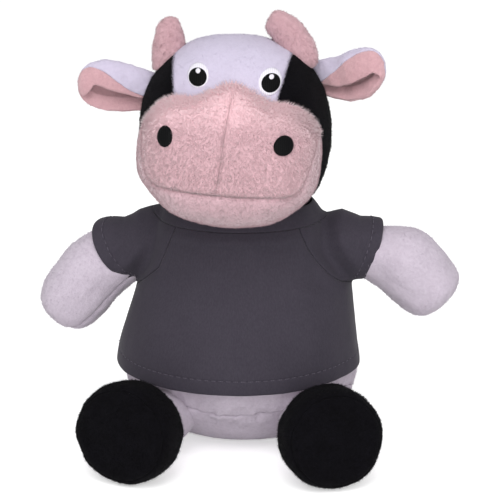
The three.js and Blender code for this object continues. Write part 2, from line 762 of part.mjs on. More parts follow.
for (const [name, side] of sides) {
  const [out, height, turned, lifted] = side > 0
    ? [earOutRight, earHeightRight, earTurnAngleRight, earLiftAngleRight]
    : [earOutLeft, earHeightLeft, earTurnAngleLeft, earLiftAngleLeft];
  const place = inOrder(shift(side * out, earBack, height), turn(Z, -side * turned), turn(Y, -side * lifted));
  const group = groupIn(headGroup, place);
  const headInEar = [-earFoldAngle, 0, earFoldAngle]
    .map((angle) => solid(grown(headForm, seamGap), inOrder(turn(Z, angle), place.clone().invert())))
    .reduce((all, one) => all.add(one));
  const back = solid(earLayerForm(side, 0, earBackToAngle));
  const lining = solid(earLayerForm(side, earLayer + seamGap, earLiningToAngle));
  add(group, `ear_${name}_back`, back.subtract(headInEar), "white");
  add(group, `ear_${name}_lining`, lining.subtract(headInEar), "pink");
}

// Tail

const tailSpine = new THREE.CatmullRomCurve3([
  new THREE.Vector3(0, -tailBallRadius, 0),
  new THREE.Vector3(0, 0, 0),
  new THREE.Vector3(0, tailReach / 2, -tailHeight / 3),
  new THREE.Vector3(0, tailReach, tuftRadius - tailHeight),
]);
const tailShare = tailRadius / tailBallRadius;
const tailShares = [
  [0, 0, 0],
  [0.05, 0.5, 0.5],
  [0.14, 0.8, 0.8],
  [0.25, 0.98, 0.98],
  [0.333, 1, 1],
  [0.42, 0.9, 0.9],
  [0.55, tailShare, tailShare],
  [0.8, tailShare, tailShare],
  [0.97, tailShare, tailShare],
  [1, 0, 0],
];
const tailGroup = groupIn(cow, tailPlace);
const tailForm = swept({
  spine: tailSpine, across: X, shares: tailShares, outline: oval(10),
  halfWidth: tailBallRadius, halfDepth: tailBallRadius,
});
add(tailGroup, "tail", solid(tailForm), "white");
const tuftShares = [[0, 0, 0], [0.02, 0.45, 0.45], [0.2, 0.75, 0.75], [0.45, 1, 1], [0.7, 0.86, 0.86],
  [0.9, 0.45, 0.45], [1, 0, 0]];
const tuftForm = swept({
  spine: straight([0, tailReach + seamGap, tuftRadius - tailHeight],
    [0, tailReach + seamGap + tuftLength, tuftRadius - tailHeight]),
  across: X, shares: tuftShares, outline: oval(12), halfWidth: tuftRadius, halfDepth: tuftRadius,
});
add(tailGroup, "tail_tuft", solid(tuftForm), "black");

export default cow;
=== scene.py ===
import math

import bmesh
import bpy
import numpy as np
from mathutils import Matrix, Vector, noise
from mathutils.bvhtree import BVHTree


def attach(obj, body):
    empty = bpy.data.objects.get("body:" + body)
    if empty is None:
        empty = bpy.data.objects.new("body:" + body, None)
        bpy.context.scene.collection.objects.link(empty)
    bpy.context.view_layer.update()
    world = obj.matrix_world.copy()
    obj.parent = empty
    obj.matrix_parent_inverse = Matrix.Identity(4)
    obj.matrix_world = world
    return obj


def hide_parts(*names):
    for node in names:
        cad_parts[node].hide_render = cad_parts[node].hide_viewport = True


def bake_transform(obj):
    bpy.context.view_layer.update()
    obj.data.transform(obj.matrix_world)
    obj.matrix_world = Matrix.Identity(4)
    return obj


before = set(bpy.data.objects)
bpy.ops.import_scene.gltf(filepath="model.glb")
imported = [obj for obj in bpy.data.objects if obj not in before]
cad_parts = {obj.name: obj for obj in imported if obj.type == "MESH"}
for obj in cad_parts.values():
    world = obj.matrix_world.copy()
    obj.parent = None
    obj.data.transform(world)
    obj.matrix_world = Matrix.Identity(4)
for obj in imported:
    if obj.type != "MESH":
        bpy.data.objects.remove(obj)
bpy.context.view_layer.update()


# Without a seed the clumps of the nap would fall differently in each run

CLUMP_SEED = 1
noise.seed_set(CLUMP_SEED)

# Measures are in millimetres and degrees, and a piece becomes metres when it is made

MM = 0.001
DETAIL = 1.0
PLUSH_WALL, JERSEY_WALL = 1.2, 0.8
NAMES = {1: "right", -1: "left"}
X, Y, Z = Vector((1, 0, 0)), Vector((0, 1, 0)), Vector((0, 0, 1))


# Places


def shift(x, y, z):
    return Matrix.Translation((x, y, z))


def turn(axis, angle):
    return Matrix.Rotation(math.radians(angle), 4, axis)


def facing(side):
    """Turns the x axis outwards on either side."""
    return Matrix.Identity(4) if side > 0 else turn(Z, 180)


HEAD = shift(-2, -4, 159.2) @ turn(Z, -0.5) @ turn(Y, 4)
SHOULDER_OUT, SHOULDER_HEIGHT = 50, 97.5


def shoulder(s, droop):
    """A shoulder's frame, its x axis outwards and down by the droop."""
    return shift(s * SHOULDER_OUT, 0, SHOULDER_HEIGHT) @ facing(s) @ turn(Y, droop)


ARM_DROOP = {1: 28.5, -1: 45}
SLEEVE_DROOP = {1: 4, -1: 16}
ARM = {s: shoulder(s, ARM_DROOP[s]) for s in NAMES}
SLEEVE = {s: shoulder(s, SLEEVE_DROOP[s]) for s in NAMES}

LEG_RADIUS, ANKLE_RADIUS, LEG_LENGTH, FOOT_LENGTH = 14.6, 18.4, 52, 26
FOOT_HALF_WIDTH, FOOT_HALF_HEIGHT = {1: 23.8, -1: 24.8}, 23.7
HIP_OUT, HIP_FORWARD, HIP_HEIGHT = 34, 30, 20.4
LEG_TILT = math.degrees(math.asin((FOOT_HALF_HEIGHT - HIP_HEIGHT) / (LEG_LENGTH - FOOT_LENGTH / 2)))
LEG_SPLAY = {1: 18, -1: -19.5}


def hip(s):
    """A hip's frame, its x axis along the leg."""
    forwards = turn(Z, -90 + LEG_SPLAY[s])
    return shift(s * HIP_OUT, -HIP_FORWARD, HIP_HEIGHT) @ forwards @ turn(Y, -LEG_TILT)


LEG = {s: hip(s) for s in NAMES}


# Forms


def clamp(value):
    return min(max(value, 0), 1)


def ramp_of(value, start, length):
    return clamp((value - start) / length)


def catmull(points, u):
    """Centripetal Catmull-Rom through the rows of points, at places u from 0 to 1."""
    points = np.asarray(points, float)
    n = len(points)
    before, after = 2 * points[0] - points[1], 2 * points[-1] - points[-2]
    padded = np.vstack([before, points, after])
    along = np.clip(np.asarray(u, float), 0, 1) * (n - 1)
    i = np.minimum(along.astype(int), n - 2)
    w = (along - i)[:, None]
    x0, x1, x2, x3 = padded[i], padded[i + 1], padded[i + 2], padded[i + 3]
    pairs = ((x0, x1), (x1, x2), (x2, x3))
    d0, d1, d2 = (np.sqrt(np.linalg.norm(b - a, axis=1))[:, None] for a, b in pairs)
    tiny = 1e-4
    d1 = np.where(d1 < tiny, 1, d1)
    d0 = np.where(d0 < tiny, d1, d0)
    d2 = np.where(d2 < tiny, d1, d2)
    t1 = ((x1 - x0) / d0 - (x2 - x0) / (d0 + d1) + (x2 - x1) / d1) * d1
    t2 = ((x2 - x1) / d1 - (x3 - x1) / (d1 + d2) + (x3 - x2) / d2) * d1
    square = (-3 * x1 + 3 * x2 - 2 * t1 - t2) * w**2
    cube = (2 * x1 - 2 * x2 + t1 + t2) * w**3
    return x1 + t1 * w + square + cube


def closed_outline(ring, count):
    """A smooth closed outline of count points through the points of the ring."""
    wrapped = np.vstack([ring[-2:], ring, ring[:3]])
    steps = (2 + np.arange(count) / count * len(ring)) / (len(wrapped) - 1)
    return catmull(wrapped, steps)


def line(spine, t):
    """Places and directions on a spine of 2 points (straight) or more (curved)."""
    spine, t = np.asarray(spine, float), np.clip(t, 0, 1)
    if len(spine) == 2:
        places = spine[0] + t[:, None] * (spine[1] - spine[0])
        ways = np.repeat([spine[1] - spine[0]], len(t), 0)
    else:
        step = 1e-4
        places = catmull(spine, t)
        ways = catmull(spine, np.clip(t + step, 0, 1)) - catmull(spine, np.clip(t - step, 0, 1))
    return places, ways / np.linalg.norm(ways, axis=1)[:, None]


def oval(sides, front=1.0):
    """A round outline whose front half is drawn out by a factor."""
    a = np.arange(sides) * 2 * np.pi / sides
    v = np.sin(a)
    return np.stack([np.cos(a), np.where(v < 0, v * front, v)], 1)


def loft(spine, across, rows, outline, half_w, half_d, rings=60, ahead=None):
    """A closed form: the outline, sized by the rows of shares, carried along the spine."""
    rows = catmull(rows, np.linspace(0, 1, rings))
    places, ways = line(spine, rows[:, 0])
    if ahead is not None:
        ways = np.repeat([ahead], len(rows), 0).astype(float)
    across = np.asarray(across, float)
    inwards = np.cross(ways, across)
    wide = across * (outline[:, 0] * half_w)[None, :, None] * rows[:, 1][:, None, None]
    deep = inwards[:, None] * (outline[:, 1] * half_d)[None, :, None] * rows[:, 2][:, None, None]
    loops = places[:, None] + wide + deep
    n = len(outline)
    body = loops[1:-1]
    points = np.vstack([loops[0].mean(0), body.reshape(-1, 3), loops[-1].mean(0)])

    def number(i, j):
        return 1 + i * n + j % n

    faces = [(0, number(0, j + 1), number(0, j)) for j in range(n)]
    faces += [(number(i, j), number(i, j + 1), number(i + 1, j + 1), number(i + 1, j))
              for i in range(len(body) - 1) for j in range(n)]
    last = len(body) - 1
    faces += [(number(last, j), number(last, j + 1), len(points) - 1) for j in range(n)]
    return points, faces


def made_mesh(points, faces, place=None):
    mesh = bpy.data.meshes.new("scratch")
    mesh.from_pydata([tuple(p) for p in points], [], faces)
    if place is not None:
        mesh.transform(place)
    return mesh


def mesh_from(bm, name="scratch"):
    mesh = bpy.data.meshes.new(name)
    bm.to_mesh(mesh)
    return mesh


def bm_from(*meshes):
    """One bmesh of all the meshes, which are removed."""
    bm = bmesh.new()
    for mesh in meshes:
        bm.from_mesh(mesh)
        bpy.data.meshes.remove(mesh)
    return bm


def mesh_of(points, faces):
    """A bmesh of points and faces, with its normals outwards."""
    bm = bm_from(made_mesh(points, faces))
    bmesh.ops.recalc_face_normals(bm, faces=bm.faces)
    return bm


def moved(bm, place):
    copy = bm.copy()
    bmesh.ops.transform(copy, matrix=place, verts=copy.verts)
    return copy


def evaluated(mesh, *modifiers):
    """A bmesh of the mesh with modifiers applied; each is (type, {setting: value})."""
    ob = bpy.data.objects.new("scratch", mesh)
    bpy.context.scene.collection.objects.link(ob)
    for kind, settings in modifiers:
        modifier = ob.modifiers.new(kind, kind)
        for key, value in settings.items():
            setattr(modifier, key, value)
    result = ob.evaluated_get(bpy.context.evaluated_depsgraph_get())
    done = bpy.data.meshes.new_from_object(result)
    bpy.data.objects.remove(ob)
    return bm_from(done)


def even(forms, voxel, smooth):
    """One even, smooth mesh round all the forms; each is (points, faces) and may have a place."""
    bm = bm_from(*[made_mesh(*form) for form in forms])
    bmesh.ops.recalc_face_normals(bm, faces=bm.faces)
    mesh = mesh_from(bm)
    bm.free()
    return evaluated(
        mesh,
        ("REMESH", {"mode": "VOXEL", "voxel_size": voxel}),
        ("SMOOTH", {"factor": 0.5, "iterations": smooth}),
    )


def shell(bm, wall):
    """The open skin bm given a wall inwards."""
    settings = {"thickness": wall, "offset": -1, "use_even_offset": False}
    return evaluated(mesh_from(bm), ("SOLIDIFY", settings))


def lumps(*layers):
    """Soft unevenness in layers of (size, height, seed)."""
    def height(co):
        return sum(high * noise.noise(co / size + Vector((seed,) * 3)) for size, high, seed in layers)
    return height


# Seams


def split(bm, normal, point, clear=False):
    geom = bm.verts[:] + bm.edges[:] + bm.faces[:]
    bmesh.ops.bisect_plane(bm, geom=geom, dist=1e-5, plane_co=point, plane_no=normal, clear_outer=clear)


def unwarp(co, way):
    """The place that way moves to co, found in a few steps."""
    guess = co.copy()
    for _ in range(4):
        guess = co - way(guess)
    return guess


def rolled(d):
    """1 at d = 0, falling in a quarter circle to 0 at d = 1."""
    return 1 - math.sqrt(1 - (1 - d) ** 2) if d < 1 else 0.0


class Seam:
    """A seam on the plane through point. The piece kept lies on the side that normal points away from.

    Its edge is rolled in over a width of roll by a depth. A way bends the plane, and fade scales the depth.
    """

    def __init__(self, normal, point, roll, depth, way=None, fade=None):
        self.normal, self.point = Vector(normal).normalized(), Vector(point)
        self.roll, self.depth, self.way, self.fade = roll, depth, way, fade

    def flipped(self):
        return Seam(-self.normal, self.point, self.roll, self.depth, self.way, self.fade)

    def distance(self, co):
        if self.way:
            co = co + self.way(co)
        return (self.point - co).dot(self.normal)

    def split_at(self, bm, shares):
        """Cuts new edges at shares of the roll from the seam."""
        for share in shares:
            split(bm, self.normal, self.point - self.normal * self.roll * share)

    def cut_flat(self, bm):
        self.split_at(bm, (0.75, 0.4, 0.15))
        split(bm, self.normal, self.point, clear=True)

    def cut(self, bm):
        """Cuts bm along the seam, which is flat while every vertex is moved by way."""
        if not self.way:
            self.cut_flat(bm)
            return
        for v in bm.verts:
            v.co += self.way(v.co)
        self.cut_flat(bm)
        for v in bm.verts:
            v.co = unwarp(v.co, self.way)

    def push(self, co):
        depth = self.depth * (self.fade(co) if self.fade else 1)
        return depth * rolled(max(self.distance(co) / self.roll, 0))


class Groove(Seam):
    """A seam line drawn into a piece that goes on past it."""

    def cut_flat(self, bm):
        self.split_at(bm, (-1, -0.5, -0.18, 0, 0.18, 0.5, 1))

    def push(self, co):
        return self.depth * rolled(abs(self.distance(co)) / self.roll)


def panel(form, seams, rough):
    """A copy of the form cut at its seams, its edges rolled in, its surface stirred by rough(place)."""
    bm = form.copy()
    for seam in seams:
        seam.cut(bm)
    bm.normal_update()
    moves = []
    for v in bm.verts:
        move = -v.normal * max((seam.push(v.co) for seam in seams), default=0.0)
        move += v.normal * rough(v.co)
        moves.append(move)
    for v, move in zip(bm.verts, moves):
        v.co += move
    return bm


# Materials


def rgb(code):
    """A linear colour from six hexadecimal digits."""
    linear = []
    for i in (0, 2, 4):
        c = int(code[i:i + 2], 16) / 255
        linear.append(c / 12.92 if c <= 0.04045 else ((c + 0.055) / 1.055) ** 2.4)
    return (*linear, 1)


class Nodes:
    """A new material and short ways to make its nodes."""

    def __init__(self, name):
        self.material = bpy.data.materials.new(name)
        self.material.use_nodes = True
        self.tree = self.material.node_tree
        self.bsdf = next(n for n in self.tree.nodes if n.type == "BSDF_PRINCIPLED")
        coords = self.tree.nodes.new("ShaderNodeTexCoord")
        self.where = coords.outputs["Object"]

    def feed(self, socket, value):
        """Links the value to the socket if it is a socket itself, or else sets it."""
        if isinstance(value, bpy.types.NodeSocket):
            self.tree.links.new(value, socket)
        else:
            socket.default_value = value

    def new(self, kind, **values):
        node = self.tree.nodes.new("ShaderNode" + kind)
        for key, value in values.items():
            if key in node.inputs:
                self.feed(node.inputs[key], value)
            else:
                setattr(node, key, value)
        return node

    def noise(self, size_mm, detail=3.0, rough=0.6, where=None):
        node = self.new("TexNoise", Vector=where or self.where, Scale=1000 / size_mm, Detail=detail,
                        Roughness=rough)
        return node.outputs["Fac"]

    def ramp(self, fac, *stops):
        node = self.new("ValToRGB", Fac=fac)
        elements = node.color_ramp.elements
        while len(elements) < len(stops):
            elements.new(0.5)
        for element, (position, colour) in zip(elements, stops):
            element.position = position
            element.color = colour
        return node.outputs["Color"]

    def mix(self, a, b, fac):
        """a mixed with b by fac, through the node's colour sockets 6 and 7 and its factor 0."""
        node = self.new("Mix", data_type="RGBA")
        for number, value in ((6, a), (7, b), (0, fac)):
            self.feed(node.inputs[number], value)
        return node.outputs[2]

    def bump(self, height, strength, distance_mm, normal=None):
        node = self.new("Bump", Height=height, Strength=strength, Distance=distance_mm * MM)
        if normal:
            self.tree.links.new(normal, node.inputs["Normal"])
        return node.outputs["Normal"]

    def put(self, **sockets):
        for key, value in sockets.items():
            self.feed(self.bsdf.inputs[key.replace("_", " ")], value)
        return self.material


def plush(name, deep, plain, light, pile_mm, bump, sheen=0.2, shine=0.12, upper=None):
    """upper is a painted highlight: a lighter colour, and the two heights in metres between which it is
    blended over the top of the piece.
    """
    n = Nodes(name)
    fine = n.noise(pile_mm, detail=4, rough=0.7)
    wide = n.noise(pile_mm * 9, detail=2)
    tone = n.ramp(fine, (0.3, rgb(deep)), (0.5, rgb(plain)), (0.72, rgb(light)))
    soft = n.ramp(wide, (0.3, rgb(deep)), (0.62, rgb(light)))
    colour = n.mix(tone, soft, 0.25)
    # Painted highlight: the colour turns lighter with height, towards the top of the piece
    if upper:
        height = n.new("SeparateXYZ", Vector=n.where).outputs["Z"]
        limits = {"From Min": upper[1], "From Max": upper[2]}
        share = n.new("MapRange", Value=height, interpolation_type="SMOOTHSTEP", **limits)
        colour = n.mix(colour, rgb(upper[0]), share.outputs["Result"])
    normal = n.bump(n.noise(pile_mm * 0.5, detail=3), bump, 0.5, n.bump(fine, bump, 0.9))
    return n.put(Base_Color=colour, Roughness=0.95, Normal=normal,
                 Sheen_Weight=sheen, Sheen_Roughness=0.5, Specular_IOR_Level=shine)


def jersey(name, deep, plain, light):
    """Fine yarn drawn out upwards, with faint upright ribs."""
    n = Nodes(name)
    stretch = n.new("Mapping", Vector=n.where, Scale=(1, 1, 0.45)).outputs["Vector"]
    yarn = n.noise(0.7, detail=3, where=stretch)
    wide = n.noise(14, detail=2)
    tone = n.ramp(yarn, (0.3, rgb(deep)), (0.5, rgb(plain)), (0.75, rgb(light)))
    soft = n.ramp(wide, (0.35, rgb(plain)), (0.7, rgb(light)))
    ribs = n.new("TexWave", Vector=n.where, Scale=260.0, Distortion=0.6, bands_direction="X")
    normal = n.bump(yarn, 0.16, 0.25, n.bump(ribs.outputs["Fac"], 0.03, 0.2))
    return n.put(Base_Color=n.mix(tone, soft, 0.3), Roughness=0.88, Normal=normal,
                 Sheen_Weight=0.08, Sheen_Roughness=0.4, Specular_IOR_Level=0.15)


THREAD_MM, THREAD_WAVE = 0.45, 6.28


def thread(name, deep, plain, bump, shine):
    """Fine rows of thread side by side."""
    n = Nodes(name)
    rows = n.new("TexWave", Vector=n.where, Scale=1000 / THREAD_MM / THREAD_WAVE, Distortion=1.5,
                 bands_direction="X").outputs["Fac"]
    tone = n.ramp(rows, (0.2, rgb(deep)), (0.8, rgb(plain)))
    return n.put(Base_Color=tone, Roughness=0.6, Normal=n.bump(rows, bump, 0.2),
                 Specular_IOR_Level=shine, Sheen_Weight=0.0)


PLUSHES = {
    "plush_white": ("bfb7cb", "c4bcd0", "c9c1d5", 1.2, 0.3),
    "plush_body": ("b4a9b6", "bdb2bf", "c5bbc7", 1.6, 0.3),
    "plush_black": ("060507", "0a090c", "100f14", 1.0, 0.4, 0.01, 0.05),
    # plush_pink's last entry paints a highlight on the top of the muzzle
    "plush_pink": ("bd979e", "c6a0a7", "cea9b0", 1.4, 0.3, 0.8, 0.12, ("ecc3ca", 0.163, 0.178)),
    "plush_chin": ("c09da5", "c7a4ac", "ceadb4", 1.4, 0.3, 0.7),
    # The horns' plush is the muzzle's pink painted darker: painted shade for horns that the lamps light more
    # than the muzzle
    "plush_horn": ("b38e94", "bc979e", "c5a0a7", 1.4, 0.4, 0.4),
    "plush_lining": ("bb9298", "c59ca2", "cea6ab", 1.2, 0.4, 0.4),
}
THREADS = {
    "thread_black": ("040405", "0b0b0d", 0.4, 0.08),
    "thread_white": ("d3cfda", "e3e0e8", 0.15, 0.3),
    "seam_thread": ("46424c", "56515c", 0.4, 0.15),
}
LOOK = {name: plush(name, *values) for name, values in PLUSHES.items()}
LOOK["jersey_charcoal"] = jersey("jersey_charcoal", "332f38", "38343d", "3e3a43")
LOOK.update({name: thread(name, *values) for name, values in THREADS.items()})


# Pieces


def finished(name, mesh, look, body, blend):
    """A smooth object with its material, riding on a body, or with its place baked in and no body when blend
    is given.
    """
    mesh.polygons.foreach_set("use_smooth", [True] * len(mesh.polygons))
    mesh.materials.append(LOOK[look])
    ob = bpy.data.objects.new(name, mesh)
    bpy.context.scene.collection.objects.link(ob)
    if blend:
        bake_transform(ob)
    else:
        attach(ob, body)
    return ob


def piece(name, bm, look, body, stands_for=(), blend=None, place=None):
    """A piece from bm, with the first word of its look added to its name."""
    name = f"{name}_{look.split('_')[0]}"
    mesh = mesh_from(bm, name)
    if place is not None:
        mesh.transform(place)
    for v in mesh.vertices:
        v.co.z = max(v.co.z, 0.0)
    mesh.transform(Matrix.Scale(MM, 4))
    ob = finished(name, mesh, look, body, blend)
    if stands_for:
        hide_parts(*stands_for)
    return ob


def at(place, point):
    """A point of a place's own frame, in metres in the row frame."""
    return tuple((place @ Vector(point)) * MM)


# Nap


def scattered(bm, per_mm2, rng):
    """Random places on the faces of bm, and the normals there."""
    bmesh.ops.triangulate(bm, faces=bm.faces)
    bm.normal_update()
    tri = np.array([[v.co[:] for v in f.verts] for f in bm.faces])
    nor = np.array([f.normal[:] for f in bm.faces])
    one, two = tri[:, 1] - tri[:, 0], tri[:, 2] - tri[:, 0]
    area = np.linalg.norm(np.cross(one, two), axis=1) / 2
    which = np.repeat(np.arange(len(tri)), rng.poisson(area * per_mm2))
    a, b = rng.random(len(which)), rng.random(len(which))
    over = a + b > 1
    a[over], b[over] = 1 - a[over], 1 - b[over]
    spot = tri[which, 0] + a[:, None] * one[which] + b[:, None] * two[which]
    return spot, nor[which]


def laid(flow, nor):
    """The part of each direction that lies along the surface."""
    return flow - nor * (flow * nor).sum(1)[:, None]


def unit(rows):
    return rows / np.linalg.norm(rows, axis=1)[:, None]


def tuft_directions(spot, nor, comb, lean, clump, rng):
    """Where each tuft points: out of the surface, leaning the way it is combed, in clumps if asked."""
    flow = laid(np.asarray(comb(spot), float), nor)
    flow /= np.maximum(np.linalg.norm(flow, axis=1), 0.3)[:, None]
    flow += rng.normal(0, 0.25, spot.shape)
    if clump:
        flow += 0.6 * np.array([noise.noise_vector(Vector(p) / clump)[:] for p in spot])
    return unit(nor + laid(flow, nor) * lean * rng.uniform(0.6, 1.4, len(spot))[:, None])


TUFT_ROOT = 0.3
TUFT_FACES = [[0, 1, 3], [1, 2, 3], [2, 0, 3], [0, 2, 1]]


def pile(name, sources, look, body, per_mm2, length, wide, comb, seed, keep=None, lean=0.5, blend=None,
         clump=0.0):
    """Short tapered tufts on the outside of the sources, which are in mm in the row frame."""
    rng = np.random.default_rng(seed)
    spots = [scattered(bm, DETAIL * per_mm2, rng) for bm in sources]
    spot, nor = (np.concatenate(parts) for parts in zip(*spots))
    if keep is not None:
        good = keep(spot, nor)
        spot, nor = spot[good], nor[good]
    n = len(spot)
    way = tuft_directions(spot, nor, comb, lean, clump, rng)
    side = unit(np.cross(way, rng.normal(0, 1, (n, 3))))
    other = np.cross(way, side)
    size = wide * rng.uniform(0.7, 1.3, n)[:, None]
    foot = spot - way * TUFT_ROOT
    tip = spot + way * (length * rng.uniform(0.6, 1.25, n))[:, None]
    ring = [foot + side * size]
    ring += [foot + (-0.5 * side + turned * other) * size for turned in (0.87, -0.87)]
    points = np.stack([*ring, tip], 1).reshape(-1, 3) * MM
    points[:, 2] = np.maximum(points[:, 2], 0)
    first = (np.arange(n) * 4)[:, None, None]
    faces = (first + np.array(TUFT_FACES)[None]).reshape(-1, 3)
    mesh = bpy.data.meshes.new(name)
    mesh.vertices.add(len(points))
    mesh.vertices.foreach_set("co", points.ravel())
    mesh.loops.add(faces.size)
    mesh.loops.foreach_set("vertex_index", faces.ravel())
    mesh.polygons.add(len(faces))
    mesh.polygons.foreach_set("loop_start", np.arange(len(faces)) * 3)
    mesh.update(calc_edges=True)
    mesh.validate()
    return finished(name, mesh, look, body, blend)


def combed(x, y=0.0, z=0.0):
    """Directions that share y and z, with an x for each tuft."""
    return np.stack([x, 0 * x + y, 0 * x + z], 1)


def down(spot):
    return combed(0 * spot[:, 0], 0, -1.0)


# Torso

TORSO_HALF_WIDTH, TORSO_FRONT, TORSO_BACK = 57.5, 50, 45
TORSO_ROWS = [[0, 0, 0], [0.012, 0.42, 0.36], [0.077, 0.68, 0.6], [0.192, 0.86, 0.82], [0.368, 0.985, 0.985],
              [0.514, 0.99, 1], [0.613, 0.945, 0.93], [0.711, 0.875, 0.84], [0.81, 0.81, 0.775],
              [0.894, 0.755, 0.74], [0.951, 0.71, 0.715], [0.979, 0.655, 0.66], [0.995, 0.48, 0.48],
              [1, 0, 0]]
TORSO_SPINE = [[0, 8, -0.5], [0, 0, 45], [0, 0, 116]]
TORSO_LUMPS = lumps((22, 0.9, 3.1), (9, 0.35, 8.7))
LOWEST = 0.05
SEAT_SEAM_HEIGHT = 28.2
BELLY_DROP, BELLY_HALF_WIDTH, BELLY_FORWARD = 4.5, 30, 18
GATHER_HEIGHT, GATHER_REACH, GATHER_DEPTH = 28, 7, 1.5


def torso_loft(rings=90, sides=96):
    outline = oval(sides, TORSO_FRONT / TORSO_BACK)
    return loft(TORSO_SPINE, X, TORSO_ROWS, outline, TORSO_HALF_WIDTH, TORSO_BACK, rings, ahead=Z)


def belly_way(co):
    """The belly seam hangs lower in the middle of the front, and runs level from the sides to the back."""
    forward = clamp(-co.y / BELLY_FORWARD)
    forward *= forward * (3 - 2 * forward)
    return Vector((0, 0, BELLY_DROP * max(1 - (co.x / BELLY_HALF_WIDTH) ** 2, -0.6) * forward))


def gathers(co):
    """Soft lumps, and gathers close to the seat seam."""
    near = math.exp(-(((co.z + belly_way(co).z - GATHER_HEIGHT) / GATHER_REACH) ** 2))
    fold = noise.noise(Vector((co.x / 3.2, co.y / 4, co.z / 11)))
    return TORSO_LUMPS(co) * clamp(co.z / 12) + near * GATHER_DEPTH * fold


def make_torso():
    torso = even([torso_loft()], 1.3, 3)
    for v in torso.verts:
        v.co.z = max(v.co.z, LOWEST)
    seat_seam = Seam(Z, (0, 0, SEAT_SEAM_HEIGHT), 2.2, 1.5, way=belly_way)
    cover = panel(torso, [seat_seam.flipped()], gathers)
    bottom = panel(torso, [seat_seam], gathers)
    piece("torso_cover", shell(cover, PLUSH_WALL), "plush_body", "torso", ["torso_cover", "torso_stuffing"])
    piece("seat_panel", shell(bottom, PLUSH_WALL), "plush_body", "torso", ["seat_panel", "bean_pouch"])
    pile("torso_pile", [cover.copy(), bottom.copy()], "plush_body", "torso", 0.8, 0.9, 0.1, down, 20,
         lambda spot, nor: (spot[:, 2] < 48) & (spot[:, 2] > 3))


NECK_RADIUS = 25
NECK_SPINE = [[0, 0, 81], [0, 0, 131]]
NECK_ROWS = [[0, 0, 0], [0.07, 0.5, 0.5], [0.25, 0.87, 0.87], [0.5, 1, 1], [0.75, 0.87, 0.87],
             [0.93, 0.5, 0.5], [1, 0, 0]]


def make_neck():
    neck = mesh_of(*loft(NECK_SPINE, X, NECK_ROWS, oval(40), NECK_RADIUS, NECK_RADIUS, 30))
    piece("neck", neck, "plush_body", "neck", ["neck"])


# Arms

ARM_RADIUS, ARM_CUFF_RADIUS, ARM_ROOT_RADIUS = {1: 17, -1: 16}, {1: 12.9, -1: 15}, 13
ARM_LENGTH, ARM_ARCH = 57, 7
ARM_RISE = math.atan2(4 * ARM_ARCH, ARM_LENGTH)
ARM_SPINE = [[-ARM_ROOT_RADIUS * math.cos(ARM_RISE), 0, -ARM_ROOT_RADIUS * math.sin(ARM_RISE)], [0, 0, 0],
             [ARM_LENGTH / 2, 0, ARM_ARCH], [ARM_LENGTH, 0, 0]]
ARM_SEAM = {1: 80, -1: 38}
# Where an arm is fuller: by how much, how far along, over what length, and above (1) or below (-1)
ARM_FULL = {1: (1.6, 27, 10, 1), -1: (3.4, 29, 11, -1)}
BEND_DROOP = 30
BEND_REACH = {1: (6.5, 36), -1: (6.5, 42)}


def arm_form(s):
    radius = ARM_RADIUS[s]
    root, cuff = ARM_ROOT_RADIUS / radius, ARM_CUFF_RADIUS[s] / radius
    rows = [[0, 0], [0.03, 0.42 * root], [0.1, 0.72 * root], [0.2, 0.92 * root], [0.333, root], [0.45, cuff],
            [0.56, (1 + cuff) / 2], [0.68, 1], [0.81, 1], [0.9, 0.94], [0.965, 0.72], [1, 0]]
    return loft(ARM_SPINE, Y, [[a, b, b] for a, b in rows], oval(48), radius, radius, 70)


def arm_fill(s, co):
    high, along, reach, up = ARM_FULL[s]
    return high * math.exp(-(((co.x - along) / reach) ** 2)) * clamp(up * co.z / 12)


def arm_bend(s):
    """The bodies on each side of the arm's bend, and two points along it: past the sleeve's underarm edge,
    and down along the arm.
    """
    place = shoulder(s, BEND_DROOP)
    start, end = BEND_REACH[s]
    return "torso", f"arm_{NAMES[s]}", at(place, (start, 0, 0)), at(place, (end, 0, 0))


def make_arm(s, name):
    below = math.radians(ARM_SEAM[s])
    seam = Groove((0, -s * math.sin(below), math.cos(below)), (0, 0, 0), 2.4, 1.4)
    soft = lumps((14, 0.8, 2.0 + s), (5, 0.3, 9.0 + s))
    bm = panel(even([arm_form(s)], 0.9, 3), [seam], lambda co: soft(co) + arm_fill(s, co))
    ends = arm_bend(s)
    cad = [f"arm_{name}_cover", f"arm_{name}_stuffing"]
    piece(f"arm_{name}_cover", bm, "plush_body", None, cad, blend=ends, place=ARM[s])
    pile(f"arm_{name}_pile", [moved(bm, ARM[s])], "plush_body", None, 1.0, 0.9, 0.1, down, 30 + s, blend=ends)


# Legs and feet

LEG_SPAN = LEG_LENGTH + LEG_RADIUS
ANKLE = (LEG_SPAN - FOOT_LENGTH) / LEG_SPAN
CALF = 2 * LEG_RADIUS / LEG_SPAN
LEG_SPINE = [[-LEG_RADIUS, 0, 0], [LEG_LENGTH, 0, 0]]
LEG_BEND = (-2, 22)
ROUND_ANGLES = [0, 22.5, 45, 67.5, 90]
FOOT_SHARES = [(0.09, 0.88), (0.3, 0.99), (0.7, 1), (0.88, 0.93), (0.96, 0.81)]
SOLE_SHARE = 0.955


